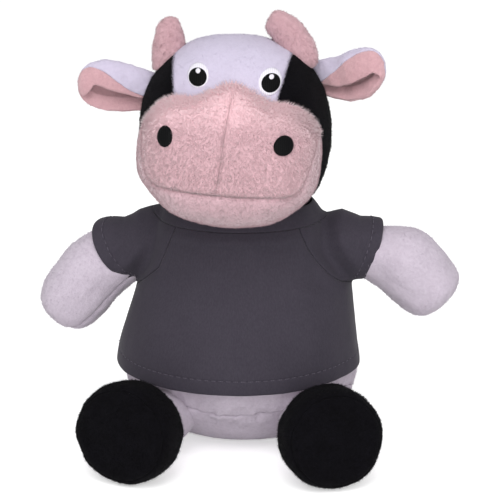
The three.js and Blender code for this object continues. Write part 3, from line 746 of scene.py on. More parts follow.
def make_leg(s, name):
    wide, high = FOOT_HALF_WIDTH[s], FOOT_HALF_HEIGHT
    rows = [[(1 - math.cos(a)) * LEG_RADIUS / LEG_SPAN, math.sin(a) * LEG_RADIUS]
            for a in np.radians(ROUND_ANGLES)]
    rows += [[CALF, LEG_RADIUS], [ANKLE, ANKLE_RADIUS], [ANKLE + 0.06, ANKLE_RADIUS],
             [ANKLE + 0.1, ANKLE_RADIUS * 0.7], [ANKLE + 0.11, 0]]
    form = loft(LEG_SPINE, Y, [[a, r / wide, r / high] for a, r in rows], oval(48), wide, high, 60)
    bm = panel(even([form], 1.0, 2), [], lumps((12, 0.7, 5.0 + s), (5, 0.3, 1.0 + s)))
    ends = ("torso", f"leg_{name}", *(at(LEG[s], (along, 0, 0)) for along in LEG_BEND))
    piece(f"leg_{name}_cover", bm, "plush_body", None, [f"leg_{name}_cover", f"leg_{name}_stuffing"],
          blend=ends, place=LEG[s])


def make_foot(s, name):
    wide, high = FOOT_HALF_WIDTH[s], FOOT_HALF_HEIGHT
    rows = [[ANKLE - 0.005, 0, 0], [ANKLE, 0.5, 0.5], [ANKLE + 0.01, 0.76, 0.76]]
    rows += [[ANKLE + (1 - ANKLE) * a, b, b] for a, b in FOOT_SHARES] + [[0.995, 0.55, 0.55], [1, 0, 0]]
    foot = even([loft(LEG_SPINE, Y, rows, oval(72), wide, high, 70)], 0.9, 3)
    sole_seam = Seam(X, (LEG_LENGTH * SOLE_SHARE, 0, 0), 1.5, 0.45)
    stir = lumps((11, 0.8, 4.0 + s), (4, 0.25, 7.0 + s))
    upper = panel(foot, [sole_seam], stir)
    sole = panel(foot, [sole_seam.flipped()], stir)
    for part, bm in (("upper", upper), ("sole", sole)):
        piece(f"foot_{name}_{part}", shell(bm, PLUSH_WALL), "plush_black", f"leg_{name}",
              [f"foot_{name}_{part}"], place=LEG[s])
    pile(f"foot_{name}_pile", [moved(upper, LEG[s]), moved(sole, LEG[s])], "plush_black", f"leg_{name}",
         1.2, 0.9, 0.11, down, 40 + s, clump=2.5)


# Head

HEAD_HALF_WIDTH, HEAD_HALF_DEPTH, HEAD_HALF_HEIGHT = 46, 42, 42.2
HEAD_SPINE = [[0, 0, -HEAD_HALF_HEIGHT], [0, 0, HEAD_HALF_HEIGHT]]
HEAD_ROWS = [[0, 0, 0], [0.015, 0.36, 0.36], [0.045, 0.63, 0.6], [0.09, 0.8, 0.76], [0.17, 0.91, 0.89],
             [0.32, 0.985, 0.98], [0.5, 1, 1], [0.68, 0.935, 0.935], [0.82, 0.78, 0.77], [0.92, 0.58, 0.56],
             [0.98, 0.31, 0.3], [1, 0, 0]]
HEAD_LUMPS = lumps((20, 0.6, 1.5), (7, 0.25, 6.5))
BLAZE_SPREAD = math.radians(12)
BLAZE_MIDDLE, BLAZE_HALF_WIDTH = -3.7, 20.8


def blaze_seam(s):
    """The seam between the white panel and the black one on this side."""
    normal = (s * math.cos(BLAZE_SPREAD), 0, -math.sin(BLAZE_SPREAD))
    return Seam(normal, (BLAZE_MIDDLE + s * BLAZE_HALF_WIDTH, 0, 0), 1.8, 1.2)


head = even([loft(HEAD_SPINE, X, HEAD_ROWS, oval(96), HEAD_HALF_WIDTH, HEAD_HALF_DEPTH, 80)], 1.1, 3)
blaze = {s: blaze_seam(s) for s in NAMES}


def make_head():
    """The three panels of the head; returns the white one and the two black ones."""
    gusset = panel(head, [blaze[1], blaze[-1]], HEAD_LUMPS)
    piece("forehead_gusset", shell(gusset, PLUSH_WALL), "plush_white", "head",
          ["forehead_gusset", "head_stuffing"], place=HEAD)
    cheeks = []
    for s, name in NAMES.items():
        cheek = panel(head, [blaze[s].flipped()], HEAD_LUMPS)
        piece(f"head_side_{name}", shell(cheek, PLUSH_WALL), "plush_black", "head", [f"head_side_{name}"],
              place=HEAD)
        cheeks.append(cheek)
    return gusset, cheeks


# Muzzle

MUZZLE_X, MUZZLE_Z = 0.8, -10
MUZZLE_ROOT, MUZZLE_FRONT = 8, 73
MUZZLE_HALF_WIDTH, MUZZLE_UP, MUZZLE_DOWN = 42.7, 33, 32.2
MUZZLE_SHRINK = 0.8
MUZZLE_SPINE = [[MUZZLE_X, -MUZZLE_ROOT, MUZZLE_Z], [MUZZLE_X, -MUZZLE_FRONT, MUZZLE_Z]]
MUZZLE_RING = [[1, 0], [0.985, 0.25], [0.93, 0.48], [0.8, 0.68], [0.6, 0.8], [0.4, 0.84], [0.22, 0.96],
               [0, 1.06], [-0.22, 0.96], [-0.4, 0.84], [-0.6, 0.8], [-0.8, 0.68], [-0.93, 0.48],
               [-0.985, 0.25], [-1, 0], [-0.97, -0.3], [-0.84, -0.57], [-0.65, -0.79], [-0.38, -0.95],
               [0, -1], [0.38, -0.95], [0.67, -0.78], [0.86, -0.56], [0.97, -0.3]]
MUZZLE_ROWS = [[0, 0, 0], [0.01, 0.9, 0.9], [0.35, 1, 1], [0.55, 1, 0.98], [0.75, 0.93, 0.88],
               [0.89, 0.76, 0.7], [0.97, 0.48, 0.43], [1, 0, 0]]
MUZZLE_LUMPS = lumps((16, 0.7, 2.2), (3.2, 0.2, 5.5))
MOUTH_TILT, MIDDLE_LEAN = math.radians(5), math.radians(4)
MOUTH_HEIGHT, MOUTH_LEVEL, MOUTH_CURVE, MOUTH_RISE = -21.5, 28, 13, 26
# Where and how large the nostrils are: across, up, half width and half height
NOSTRILS = {1: (26.5, 3.0, 4.2, 4.1), -1: (-26.2, 2.7, 3.5, 4.3)}


def muzzle_form():
    share = MUZZLE_UP / MUZZLE_DOWN
    outline = closed_outline(np.array([[u, v * (share if v > 0 else 1)] for u, v in MUZZLE_RING]), 120)
    form = loft(MUZZLE_SPINE, X, MUZZLE_ROWS, outline, MUZZLE_HALF_WIDTH, MUZZLE_DOWN, 70)
    bm = even([form], 1.1, 4)
    bm.normal_update()
    for v in bm.verts:
        v.co -= v.normal * MUZZLE_SHRINK
    return bm


def mouth_way(co):
    """The mouth runs level in its middle and curves up at both ends."""
    t = ramp_of(abs(co.x - MUZZLE_X), MOUTH_LEVEL, MOUTH_CURVE)
    return Vector((0, 0, -MOUTH_RISE * t**3))


def mouth_fade(co):
    """The mouth is drawn in deepest in its middle and fades towards the cheeks."""
    return 1 - 0.75 * ramp_of(abs(co.x), 22, 14)


muzzle = muzzle_form()
mouth = Seam((0, -math.sin(MOUTH_TILT), math.cos(MOUTH_TILT)), (0, -MUZZLE_FRONT, MOUTH_HEIGHT), 3.2, 1.5,
             mouth_way, mouth_fade)
middle = Seam((math.cos(MIDDLE_LEAN), 0, -math.sin(MIDDLE_LEAN)), (0, 0, 0), 2.2, 0.35)


def make_muzzle():
    """The muzzle's halves and the chin; returns the forms that carry nap."""
    halves = {1: panel(muzzle, [mouth.flipped(), middle.flipped()], MUZZLE_LUMPS),
              -1: panel(muzzle, [mouth.flipped(), middle], MUZZLE_LUMPS)}
    for s, name in NAMES.items():
        stands = [f"muzzle_{name}"] + (["muzzle_stuffing"] if s > 0 else [])
        piece(f"muzzle_{name}", shell(halves[s], PLUSH_WALL), "plush_pink", "head", stands,
              place=HEAD)
    chin = panel(muzzle, [mouth], MUZZLE_LUMPS)
    piece("chin_panel", shell(chin, PLUSH_WALL), "plush_chin", "head", ["chin_panel"], place=HEAD)
    return list(halves.values()), chin


# Nap of the head

HEAD_MIDDLE = -6
SEAM_NAP, BLAZE_NAP = 1.3, 1.6
UPRIGHT_LOWEST, FAR = -22, 9


def in_head(spot):
    """Places of the row frame in the head's own frame."""
    inverse = HEAD.inverted()
    return spot @ np.array(inverse.to_3x3()).T + np.array(inverse.translation)


def comb_muzzle(spot):
    """The nap runs forwards over the top of the muzzle, then down and outwards."""
    return np.stack([(spot[:, 0] + 1) / 30, 0 * spot[:, 0] - 1.2, (spot[:, 2] - 180) / 25], 1)


def on_muzzle(spot, nor):
    """Not on the muzzle's back, and clear of the nostrils."""
    local = in_head(spot)
    clear = nor[:, 1] < 0.5
    for x, z, half_w, half_h in NOSTRILS.values():
        clear &= ((local[:, 0] - x) / half_w) ** 2 + ((local[:, 2] - z) / half_h) ** 2 > 0.85
    return clear


def on_border(spot, nor):
    """The upper edge of the muzzle, where it turns back towards the head."""
    return (nor[:, 1] > -0.22) & (nor[:, 1] < 0.5) & (nor[:, 2] > 0)


def by_seams(spot, nor):
    """Close to the mouth or the upright seam, where the nap closes over the stitches."""
    near = []
    for p in in_head(spot):
        upright = abs(middle.distance(Vector(p))) if p[2] > UPRIGHT_LOWEST else FAR
        near.append(min(abs(mouth.distance(Vector(p))), upright) < SEAM_NAP)
    return np.array(near) & (nor[:, 1] < 0.2)


def by_blaze(spot, nor):
    """Close to the seams between white and black."""
    return np.array([min(blaze[1].distance(Vector(p)), blaze[-1].distance(Vector(p))) < BLAZE_NAP
                     for p in in_head(spot)])


def make_head_nap(halves, chin, gusset, cheeks):
    top = [moved(bm, HEAD) for bm in halves]
    low = [moved(chin, HEAD)]
    pile("muzzle_pile", top, "plush_pink", "head", 4.6, 1.15, 0.12, comb_muzzle, 11, on_muzzle, lean=1.3,
         clump=3)
    pile("chin_pile", low, "plush_chin", "head", 3.4, 1.0, 0.11, comb_muzzle, 12, on_muzzle, lean=1.3,
         clump=3)
    pile("seam_pile", top + low, "plush_pink", "head", 6, 1.0, 0.1, comb_muzzle, 15, by_seams, lean=0.7,
         clump=1.6)
    pile("muzzle_fringe", top, "plush_pink", "head", 1.4, 2.3, 0.2,
         lambda spot: combed((spot[:, 0] + 1) / 30, 0, 0.3), 16, on_border, clump=1.8)
    pile("forehead_pile", [moved(gusset, HEAD)], "plush_white", "head", 1.0, 0.8, 0.1,
         lambda spot: combed((spot[:, 0] - HEAD_MIDDLE) / 20, 0, 0.4), 13, lambda spot, nor: spot[:, 2] > 135)
    pile("blaze_fringe", [moved(gusset, HEAD)], "plush_white", "head", 2, 1.5, 0.16,
         lambda spot: combed(np.sign(spot[:, 0] - HEAD_MIDDLE), 0, 0.3), 17, by_blaze, lean=1.6, clump=1.8)
    pile("head_side_pile", [moved(bm, HEAD) for bm in cheeks], "plush_black", "head", 0.8, 0.8, 0.1, down, 14,
         lambda spot, nor: spot[:, 2] > 125)


# Eyes and nostrils, in raised satin stitch

EYE_OUT, EYE_HEIGHT = 16.7, 25
# Each patch: how far across and up from the eye's middle, half width and half height
WHITE_OF_EYE = {1: (-0.2, 0.5, 5.15, 5.7), -1: (0, 0.7, 5.1, 5.15)}
PUPIL = {1: (0.1, -0.1, 4.2, 4.05), -1: (0, -0.1, 4.3, 3.85)}
GLINT = (0, 2.1, 1.25, 1.25)
PATCH_RINGS, PATCH_SIDES = 10, 48
PATCH_SUNK, IN_FRONT = -0.6, -200


def patch(tree, x, z, half_w, half_h, high):
    """An oval of raised stitches on the front of a form, its last ring sunk into it."""
    loops = []
    for share in [*np.linspace(0.06, 1, PATCH_RINGS), 1.0]:
        lift = PATCH_SUNK if len(loops) == PATCH_RINGS else high * (1 - 0.5 * share**4)
        loop = []
        for a in np.arange(PATCH_SIDES) * 2 * np.pi / PATCH_SIDES:
            start = Vector((x + share * half_w * math.cos(a), IN_FRONT, z + share * half_h * math.sin(a)))
            spot, normal, _, _ = tree.ray_cast(start, Y)
            loop.append(spot + normal * lift)
        loops.append(loop)
    n = PATCH_SIDES
    faces = [(i * n + j, i * n + (j + 1) % n, (i + 1) * n + (j + 1) % n, (i + 1) * n + j)
             for i in range(PATCH_RINGS) for j in range(n)]
    faces += [tuple(range(n))[::-1], tuple(PATCH_RINGS * n + j for j in range(n))]
    return mesh_of([p[:] for loop in loops for p in loop], faces)


def make_face():
    head_tree, muzzle_tree = BVHTree.FromBMesh(head), BVHTree.FromBMesh(muzzle)
    for s, name in NAMES.items():
        layers = (("white", "thread_white", WHITE_OF_EYE[s], 0.7), ("pupil", "thread_black", PUPIL[s], 1.2),
                  ("glint", "thread_white", GLINT, 1.6))
        for part, look, (across, up, half_w, half_h), high in layers:
            bm = patch(head_tree, s * EYE_OUT + across, EYE_HEIGHT + up, half_w, half_h, high)
            piece(f"eye_{name}_{part}", bm, look, "head", [f"eye_{name}_{part}"], place=HEAD)
        piece(f"nostril_{name}", patch(muzzle_tree, *NOSTRILS[s], 1.5), "thread_black", "head",
              [f"nostril_{name}"], place=HEAD)


# Horns

HORN_ROWS = {1: [[0, 0], [0.02, 0.4], [0.06, 0.68], [0.12, 0.87], [0.22, 1], [0.4, 1], [0.6, 0.98],
                 [0.82, 0.88], [0.95, 0.68], [1, 0]],
             -1: [[0, 0], [0.01, 1.08], [0.15, 1.07], [0.3, 1.03], [0.45, 0.97], [0.6, 0.89], [0.8, 0.72],
                  [0.95, 0.47], [1, 0]]}
# Each horn: lean, length, place across the head, half width, curl, and the height at which it starts
HORN = {1: (25, 32.5, 29, 8.2, 6, -2), -1: (-6, 24, -33.4, 8.1, 1.5, -5)}
HORN_HALF_DEPTH, HORN_HEIGHT, HORN_SUNK = 5.6, 29, 5


def make_horn(s, name):
    lean, length, out, half_w, curl, start = HORN[s]
    a = (0, 0, start)
    b = (s * curl, 0, length / 2 - HORN_SUNK)
    c = (-s * curl, 0, length - HORN_SUNK)
    bezier = [[(1 - t) ** 2 * p + 2 * t * (1 - t) * q + t * t * r for p, q, r in zip(a, b, c)]
              for t in np.linspace(0, 1, 9)]
    rows = [[along, size, size] for along, size in HORN_ROWS[s]]
    horn = even([loft(bezier, (0, -1, 0), rows, oval(40), HORN_HALF_DEPTH, half_w, 50)], 0.7, 3)
    place = HEAD @ shift(out, 0, HORN_HEIGHT) @ turn(Y, -s * lean)
    bm = panel(horn, [Groove(Y, (0, 0.5, 0), 1.0, 0.5)], lumps((6, 0.5, 3 + s), (2.2, 0.25, 8 + s)))
    # The horn's colour is darkened as painted shade
    piece(f"horn_{name}", bm, "plush_horn", "head", [f"horn_{name}"], place=place)
    pile(f"horn_{name}_pile", [moved(bm, place)], "plush_horn", "head", 2.4, 1.0, 0.12, down, 50 + s, clump=2)


# Ears

EAR = {1: HEAD @ shift(40.5, 9.6, 20.5) @ turn(Z, -32) @ turn(Y, -25),
       -1: HEAD @ shift(-43, 9.6, 10) @ turn(Z, 6) @ turn(Y, 4)}
EAR_LENGTH, EAR_SUNK, EAR_HALF_WIDTH, EAR_HALF_DEPTH = 44, 8, 12.4, 6.5
EAR_ROWS = {1: [[0, 0.62], [0.12, 0.68], [0.3, 0.82], [0.5, 0.93], [0.68, 0.96], [0.84, 0.8], [0.95, 0.5],
                [1, 0.02]],
            -1: [[0, 0.62], [0.12, 0.7], [0.3, 0.84], [0.5, 0.95], [0.68, 1], [0.84, 0.86], [0.95, 0.55],
                 [1, 0.02]]}
# Tables of places along the ear, and the bend or the angle round it at each
EAR_BEND = {1: ([0, 0.1, 0.25, 0.45, 0.7, 1], [4.5, 4, 1.8, -1.2, -1.2, 0]), -1: ([0, 1], [0, 0])}
FOLD_ANGLE = {1: ([0, 1], [198, 198]), -1: ([0.2, 0.3, 0.6, 0.77, 0.88], [202, 199, 187, 179, 174])}
RIM_ANGLE = {1: ([0.2, 0.25, 0.35, 0.48, 0.66, 0.84, 1], [194, 184, 168, 150, 135, 120, 100]),
             -1: ([0.2, 0.27, 0.4, 0.585, 0.77, 0.87, 1], [194, 192, 183, 161, 137, 122, 100])}
EAR_CLOSES = {1: (0.88, 0.08), -1: (0.8, 0.12)}
EAR_LIP = {1: 5.4, -1: 4.6}
LINING_FIRST, BACK_FIRST = {1: -118, -1: -104}, -70
CLOSING_ANGLE = 62
BACK_WALL, LINING_WALL, LINING_INSET = 1.9, 1.7, 1.5
EAR_RINGS, EAR_STEPS = 48, 54


def ear_span(s, lining, rim, fold, closing):
    """The first and last angle of a layer round the ear."""
    if lining:
        return LINING_FIRST[s], fold + CLOSING_ANGLE * closing
    return BACK_FIRST, min(rim, fold - 4)


def ear_wall(s, lining, angle, rim, closing):
    """How deep a layer lies below the ear's outside, and how thick it is, at an angle."""
    if not lining:
        return 0, BACK_WALL
    over = ramp_of(angle, rim - 8, 12)
    under = ramp_of(-angle, 64, 10)
    lip = EAR_LIP[s] * math.exp(-(((angle + 100) / 62) ** 2))
    return LINING_INSET * (1 - over) * (1 - under), LINING_WALL + 1.9 * over + lip + 4 * closing


def ear_layer(s, lining):
    """The white back ends at the rim angle on the folded edge; the lining wraps over both edges."""
    loops = []
    for along, size in catmull(EAR_ROWS[s], np.linspace(0, 1, EAR_RINGS)):
        rim = float(np.interp(along, *RIM_ANGLE[s]))
        fold = float(np.interp(along, *FOLD_ANGLE[s]))
        bend = float(np.interp(along, *EAR_BEND[s]))
        closing = ramp_of(along, *EAR_CLOSES[s])
        out = s * (min(along, 1) * EAR_LENGTH - EAR_SUNK)
        outer, inner = [], []
        for angle in np.linspace(*ear_span(s, lining, rim, fold, closing), EAR_STEPS):
            inset, wall = ear_wall(s, lining, angle, rim, closing)
            a = math.radians(angle)
            for layer, depth in ((outer, inset), (inner, inset + wall)):
                layer.append((out, max(size * EAR_HALF_DEPTH - depth, 0) * math.cos(a),
                              max(size * EAR_HALF_WIDTH - depth, 0) * math.sin(a) + bend))
        loops.append(outer + inner[::-1])
    n = len(loops[0])
    faces = [(i * n + j, i * n + (j + 1) % n, (i + 1) * n + (j + 1) % n, (i + 1) * n + j)
             for i in range(len(loops) - 1) for j in range(n)]
    for start in (0, (len(loops) - 1) * n):
        faces += [(start + j, start + j + 1, start + n - 2 - j, start + n - 1 - j) for j in range(n // 2 - 1)]
    return [p for loop in loops for p in loop], faces


def make_ear(s, name):
    for layer, look in (("back", "plush_white"), ("lining", "plush_lining")):
        ear = even([ear_layer(s, layer == "lining")], 0.5, 3)
        bm = panel(ear, [], lumps((5, 0.4, 3 + s), (2, 0.15, 8 + s)))
        piece(f"ear_{name}_{layer}", bm, look, f"ear_{name}", [f"ear_{name}_{layer}"],
              place=EAR[s])
        pile(f"ear_{name}_{layer}_pile", [moved(bm, EAR[s])], look, f"ear_{name}", 1.0, 0.8, 0.1,
             lambda spot: combed(spot[:, 0]), 60 + s)


# T-shirt: one skin over the torso and the sleeves, cut into its panels

HEM_HEIGHT, EASE_REACH, EASE, SHIRT_GAP = 40, 45, 2.6, 0.9
SIDE_EASE = ([40, 50, 60, 72, 81, 90, 100], [-2.6, -2.4, -0.6, 2.4, 4.0, 2.2, 0])
SLEEVE_LENGTH, SLEEVE_CUFF_RADIUS, SLEEVE_ROOT_RADIUS = {1: 14.5, -1: 12}, {1: 13.9, -1: 16.2}, 16.2
SLEEVE_SPINE = [[-16, 0, 0], [28, 0, 0]]
BAND_HALF_WIDTH, BAND_HALF_DEPTH, BAND_TOP = 40.9, 38.3, 121.2
COLLAR_SPINE = [[0, 0, 106], [0, 0, 124]]
COLLAR_ROWS = [[0, 0, 0], [0.01, 1.03, 1.03], [0.35, 1, 1], [0.99, 0.76, 0.76], [1, 0, 0]]


def ease(z):
    """The shirt stands off more towards the hem."""
    low = np.clip((HEM_HEIGHT + EASE_REACH - z) / EASE_REACH, 0, 1)
    return 1 + EASE * low * low


def side_ease(co):
    """On the right the cloth bunches out below the armpit and draws in at the hem."""
    return clamp(co.x / 42) ** 2 * float(np.interp(co.z, *SIDE_EASE))


def shirt_body():
    bm = mesh_of(*torso_loft())
    bm.normal_update()
    for v in bm.verts:
        v.co += v.normal * (ease(v.co.z) + SHIRT_GAP + side_ease(v.co))
    mesh = mesh_from(bm)
    return [v.co[:] for v in mesh.vertices], [tuple(p.vertices) for p in mesh.polygons]


def sleeve_tube(s):
    taper = SLEEVE_CUFF_RADIUS[s] / SLEEVE_ROOT_RADIUS
    rows = [[0, 0, 0], [0.01, 1, 1], [0.4, 1, 1], [0.75, taper, taper], [0.99, taper, taper], [1, 0, 0]]
    return loft(SLEEVE_SPINE, Y, rows, oval(64), SLEEVE_ROOT_RADIUS, SLEEVE_ROOT_RADIUS, 40)


def shirt_form():
    collar = loft(COLLAR_SPINE, X, COLLAR_ROWS, oval(72), BAND_HALF_WIDTH, BAND_HALF_DEPTH, 30)
    tubes = [(*sleeve_tube(s), SLEEVE[s]) for s in NAMES]
    return even([shirt_body(), collar, *tubes], 1.1, 8)


# The shirt's seams

# The raglan seams as (height, distance from the middle)
RAGLAN = {1: [(0, 150), (70, 84), (77, 66), (80, 57), (84, 51), (89, 45), (96, 38.5), (103.5, 33.5),
              (112, 30), (130, 27)],
          -1: [(0, 150), (68, 74), (72, 62), (76, 54), (84, 46), (92, 38), (101, 34), (112, 29.5),
               (130, 27)]}
CUFF_SLANT, CUFF_TWIST = {1: 14, -1: 16}, {1: 8, -1: 18}
HEM_NORMAL, HEM_POINT = Vector((0, -2.4, 50)).normalized(), Vector((0, 0, HEM_HEIGHT))
HEM_ROW, CUFF_ROW = 7.3, 5.4
NECKLINE_HEIGHT = 112.2


def raglan_way(side):
    zs, xs = zip(*RAGLAN[side])
    return lambda co: Vector((-side * float(np.interp(co.z, zs, xs)), 0, 0))


def neck_way(co):
    """Bends the neckline's plane so that it runs round the neckband and under it in front."""
    across = math.hypot(co.x / BAND_HALF_WIDTH, co.y / BAND_HALF_DEPTH)
    return Vector((0, 0, -60 * (across - 0.985)))


def cuff(s, inset=0.0):
    """The plane of a cuff, or of a row that lies inset from it: its normal and a point."""
    slant, twist = math.radians(CUFF_SLANT[s]), math.radians(CUFF_TWIST[s])
    out = Vector((math.cos(twist), s * math.sin(twist), -math.tan(slant))).normalized()
    turned = SLEEVE[s].to_3x3()
    return turned @ out, SLEEVE[s] @ Vector((SLEEVE_LENGTH[s], 0, 0)) - turned @ out * inset


hem = Seam(-HEM_NORMAL, HEM_POINT, 1.0, 0.5)
hem_row = Groove(HEM_NORMAL, HEM_POINT + HEM_NORMAL * HEM_ROW, 1.1, 0.3)
neckline = Seam(Z, (0, 0, NECKLINE_HEIGHT), 1.1, 0.5, way=neck_way)
band_top = Seam(Z, (0, 0, BAND_TOP), 0.9, 0.4)
side_seam = Seam(Y, (0, 0, 0), 1.2, 0.7)
cuffs = {s: Seam(*cuff(s), 1.0, 0.5) for s in NAMES}
raglans = {s: Seam((s, 0, 0), (0, 0, 0), 1.3, 0.9, way=raglan_way(s)) for s in NAMES}


# The shirt's folds

# Each crease: start and end as (x, z), width, and height or, below 0, depth
CREASES = [
    ((-52, 83), (-38, 99), 3.2, -0.7), ((-57, 88), (-44, 105), 3.0, 1.8), ((-46, 79), (-32, 88), 3.2, 1.3),
    ((-63, 93), (-55, 108), 3.0, 1.2), ((52, 86), (38, 103), 3.2, -1.3), ((57, 92), (46, 109), 3.0, 2.0),
    ((48, 82), (32, 92), 3.2, -1.0), ((45, 77), (30, 84), 3.0, 1.2), ((63, 96), (57, 111), 2.6, 1.2),
    ((-44, 50), (-30, 74), 6, 0.8), ((46, 52), (30, 76), 6, 0.8),
]
# The waves along the shoulders: places across, and the height at each
SHOULDER_WAVES = ([-71, -66, -62, -58, -54, -50, -41, 38, 42.6, 48.8, 54, 58, 63, 67, 71],
                  [1.0, 1.0, 0, -1.6, -1.2, 0, 0, 0, -0.4, 2.1, 1.2, 0.4, 1.8, 2.2, 1.4])


def crease(co, start, end, wide, high):
    """A soft ridge or valley from start to end, on the front."""
    p, a, b = Vector((co.x, co.z)), Vector(start), Vector(end)
    t = clamp((p - a).dot(b - a) / (b - a).length_squared)
    away = (p - a.lerp(b, t)).length / wide
    return high * math.exp(-away * away) * math.sin(math.pi * (0.15 + 0.7 * t)) * clamp(0.4 - co.y / 12)


def folds(co):
    """Soft creases that run from the armpits, waves along the shoulders, and the fall of the cloth."""
    high = 0.5 * noise.noise(Vector((co.x / 16, co.y / 16, co.z / 34)) + Vector((4, 4, 4)))
    high += 0.2 * noise.noise(Vector((co.x / 7, co.y / 7, co.z / 14)) + Vector((9, 1, 2)))
    high += float(np.interp(co.x, *SHOULDER_WAVES)) * ramp_of(co.z, 99, 7)
    return high + sum(crease(co, *one) for one in CREASES)


# The shirt's stitches

STITCH_PITCH, STITCH_LENGTH, STITCH_RADIUS, STITCH_LIFT = 3.4, 2.3, 0.24, 0.15
STITCH_SIDES, STITCH_RAYS = 6, 1440
# The rings of one stitch: where along it, and how thick
STITCH_RINGS = ((-0.5, 0.35), (-0.35, 1), (0.35, 1), (0.5, 0.35))


def ring_hits(tree, centre, normal, reach):
    """Places and normals where the plane through centre meets the form, within reach of centre."""
    side = normal.orthogonal().normalized()
    other = normal.cross(side)
    hits = []
    for a in np.linspace(0, 2 * math.pi, STITCH_RAYS + 1)[:-1]:
        way = side * math.cos(a) + other * math.sin(a)
        spot, out, _, _ = tree.ray_cast(centre + way * reach, -way)
        if spot is not None:
            hits.append((spot, out))
    return hits


def stitch(spot, out, normal):
    """The points of one dash of thread, ring by ring."""
    along = out.cross(normal).normalized()
    up = along.cross(out)
    points = []
    for share, size in STITCH_RINGS:
        centre = spot + out * (STITCH_LIFT * size) + along * (STITCH_LENGTH * share)
        for k in range(STITCH_SIDES):
            b = k * 2 * math.pi / STITCH_SIDES
            points.append((centre + (up * math.cos(b) + out * math.sin(b)) * STITCH_RADIUS * size)[:])
    return points


def stitch_faces(start):
    """The faces of a dash whose points begin at number start."""
    n = STITCH_SIDES
    faces = [(start + i * n + k, start + i * n + (k + 1) % n, start + i * n + n + (k + 1) % n,
              start + i * n + n + k) for i in range(len(STITCH_RINGS) - 1) for k in range(n)]
    last = start + (len(STITCH_RINGS) - 1) * n
    return faces + [tuple(start + k for k in range(n))[::-1], tuple(last + k for k in range(n))]


def stitch_row(tree, centre, normal, reach):
    """Dashes of thread, one pitch apart, along the line where the plane meets the form."""
    normal = Vector(normal).normalized()
    points, faces = [], []
    travel, last = 0.0, None
    for spot, out in ring_hits(tree, centre, normal, reach):
        if last is not None:
            travel += (spot - last).length
        last = spot
        if travel >= STITCH_PITCH:
            travel = 0.0
            faces += stitch_faces(len(points))
            points += stitch(spot, out, normal)
    return mesh_of(points, faces)


# The shirt's pieces

# How far from the centre of a row the rays start that find the hem's and the cuffs' stitches
HEM_REACH, CUFF_REACH = 90, 21


def cloth(shirt, name, seams, blend=None):
    """A panel of the shirt given a wall of jersey; returns its skin."""
    bm = panel(shirt, seams, folds)
    ob = piece(name, shell(bm, JERSEY_WALL), "jersey_charcoal", "torso", [name], blend=blend)
    return bm


def make_sleeve(shirt, s, name):
    ends = arm_bend(s)
    normal, point = cuff(s, CUFF_ROW)
    seams = [neckline, cuffs[s], raglans[s].flipped(), Groove(normal, point, 0.9, 0.25)]
    bm = cloth(shirt, f"sleeve_{name}", seams, blend=ends)
    row = stitch_row(BVHTree.FromBMesh(bm), point, normal, CUFF_REACH)
    piece(f"sleeve_{name}_stitches", row, "seam_thread", "torso", blend=ends)


def make_shirt():
    shirt = shirt_form()
    body_seams = [hem, neckline, raglans[1], raglans[-1], hem_row]
    front = cloth(shirt, "shirt_front", [*body_seams, side_seam])
    back = cloth(shirt, "shirt_back", [*body_seams, side_seam.flipped()])
    both = bm_from(mesh_from(front), mesh_from(back))
    row = stitch_row(BVHTree.FromBMesh(both), HEM_POINT + HEM_NORMAL * HEM_ROW, HEM_NORMAL, HEM_REACH)
    piece("hem_stitches", row, "seam_thread", "torso")
    for s, name in NAMES.items():
        make_sleeve(shirt, s, name)
    cloth(shirt, "neckband", [neckline.flipped(), band_top])


# Tail

TAIL = shift(0, 45, 21)
TAIL_RADIUS, TUFT_RADIUS = 4.2, 6.5
TAIL_SPINE = [[0, -TAIL_RADIUS, 0], [0, 0, 0], [0, 13, -7], [0, 26, -14.5]]
TUFT_SPINE = [[0, 26.3, -14.5], [0, 50.3, -14.5]]
TAIL_SHARES = [[0, 0], [0.05, 0.5], [0.14, 0.8], [0.25, 0.98], [0.333, 1], [0.42, 0.9], [0.55, 0.714],
               [0.8, 0.714], [0.97, 0.714], [1, 0]]
TUFT_SHARES = [[0, 0], [0.02, 0.45], [0.2, 0.75], [0.45, 1], [0.7, 0.86], [0.9, 0.45], [1, 0]]


def tail_form(spine, shares, radius, rings):
    rows = [[along, size, size] for along, size in shares]
    return even([loft(spine, X, rows, oval(32), radius, radius, rings)], 0.6, 3)


def make_tail():
    tail = panel(tail_form(TAIL_SPINE, TAIL_SHARES, TAIL_RADIUS, 50), [Groove(X, (0, 0, 0), 0.7, 0.35)],
                 lumps((4, 0.3, 1)))
    piece("tail", tail, "plush_white", "tail", ["tail"], place=TAIL)
    tuft = panel(tail_form(TUFT_SPINE, TUFT_SHARES, TUFT_RADIUS, 40), [], lumps((3, 0.5, 2)))
    piece("tail_tuft", tuft, "plush_black", "tail", ["tail_tuft"], place=TAIL)


# Stage

FLOOR_HALF = 6
FLOOR_GLOW, WORLD_LIGHT, WORLD_SEEN = 0.5, 0.62, 1.0
CAMERA_AZIMUTH, CAMERA_ELEVATION, CAMERA_AWAY = math.radians(4), math.radians(14), 0.9
CAMERA_TARGET, CAMERA_LENS = Vector((0.0044, 0, 0.0951)), 132.24
WHITE = (1, 1, 1, 1)


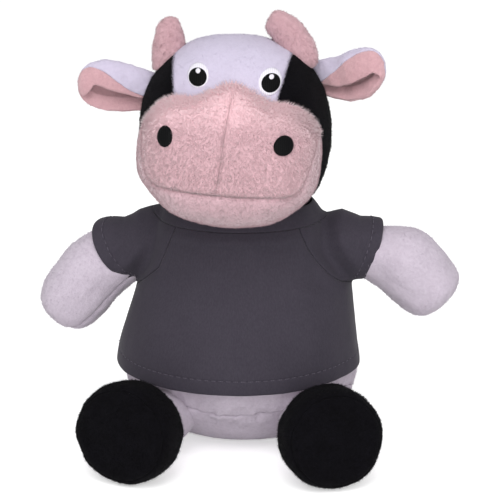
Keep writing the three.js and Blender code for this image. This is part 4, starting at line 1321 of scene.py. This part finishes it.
def make_floor():
    """A pale floor that looks lit to the camera and in reflections, and only there."""
    mesh = bpy.data.meshes.new("floor")
    square = [(x * FLOOR_HALF, y * FLOOR_HALF, 0) for x, y in ((-1, -1), (1, -1), (1, 1), (-1, 1))]
    mesh.from_pydata(square, [], [(0, 1, 2, 3)])
    floor = bpy.data.objects.new("floor", mesh)
    bpy.context.scene.collection.objects.link(floor)
    n = Nodes("floor")
    path = n.new("LightPath")
    seen = n.new("Math", operation="MAXIMUM")
    for number, ray in enumerate(("Is Camera Ray", "Is Glossy Ray")):
        n.feed(seen.inputs[number], path.outputs[ray])
    glow = n.new("Math", operation="MULTIPLY")
    n.feed(glow.inputs[0], seen.outputs[0])
    n.feed(glow.inputs[1], FLOOR_GLOW)
    n.put(Base_Color=(0.9, 0.9, 0.9, 1), Roughness=1.0, Specular_IOR_Level=0.0, Emission_Color=WHITE,
          Emission_Strength=glow.outputs[0])
    mesh.materials.append(n.material)


def make_world():
    """White light from all round, seen at full white by the camera."""
    world = bpy.data.worlds.new("world")
    bpy.context.scene.world = world
    world.use_nodes = True
    tree = world.node_tree
    background = tree.nodes["Background"]
    path = tree.nodes.new("ShaderNodeLightPath")
    strength = tree.nodes.new("ShaderNodeMix")
    strength.data_type = "FLOAT"
    tree.links.new(path.outputs["Is Camera Ray"], strength.inputs[0])
    strength.inputs[2].default_value = WORLD_LIGHT
    strength.inputs[3].default_value = WORLD_SEEN
    tree.links.new(strength.outputs[0], background.inputs["Strength"])
    background.inputs["Color"].default_value = WHITE


def aimed(ob, place, way):
    """Puts a lamp or camera in its place, looking the given way, and adds it to the scene."""
    ob.location = place
    ob.rotation_mode = "QUATERNION"
    ob.rotation_quaternion = way.to_track_quat("-Z", "Y")
    bpy.context.scene.collection.objects.link(ob)


def lamp(name, place, target, size, power):
    data = bpy.data.lights.new(name, "AREA")
    data.size, data.energy = size, power
    aimed(bpy.data.objects.new(name, data), place, Vector(target) - Vector(place))


def make_camera():
    data = bpy.data.cameras.new("camera")
    data.lens = CAMERA_LENS
    data.clip_start, data.clip_end = 0.05, 50
    camera = bpy.data.objects.new("camera", data)
    level = math.cos(CAMERA_ELEVATION)
    back = Vector((math.sin(CAMERA_AZIMUTH) * level, -math.cos(CAMERA_AZIMUTH) * level,
                   math.sin(CAMERA_ELEVATION)))
    aimed(camera, CAMERA_TARGET + back * CAMERA_AWAY, -back)
    bpy.context.scene.camera = camera


# Making it all

make_torso()
make_neck()
for side, side_name in NAMES.items():
    make_arm(side, side_name)
for side, side_name in NAMES.items():
    make_leg(side, side_name)
    make_foot(side, side_name)
white_panel, black_panels = make_head()
muzzle_halves, chin_form = make_muzzle()
make_head_nap(muzzle_halves, chin_form, white_panel, black_panels)
make_face()
for side, side_name in NAMES.items():
    make_horn(side, side_name)
for side, side_name in NAMES.items():
    make_ear(side, side_name)
make_shirt()
make_tail()
make_floor()
make_world()
lamp("key", (0.02, -0.87, 1.0), (0, 0, 0.1), 0.7, 8.5)
lamp("front", (0.15, -1.1, 0.12), (0, 0, 0.05), 0.6, 5.2)
make_camera()
bpy.context.scene.view_settings.view_transform = "Standard"
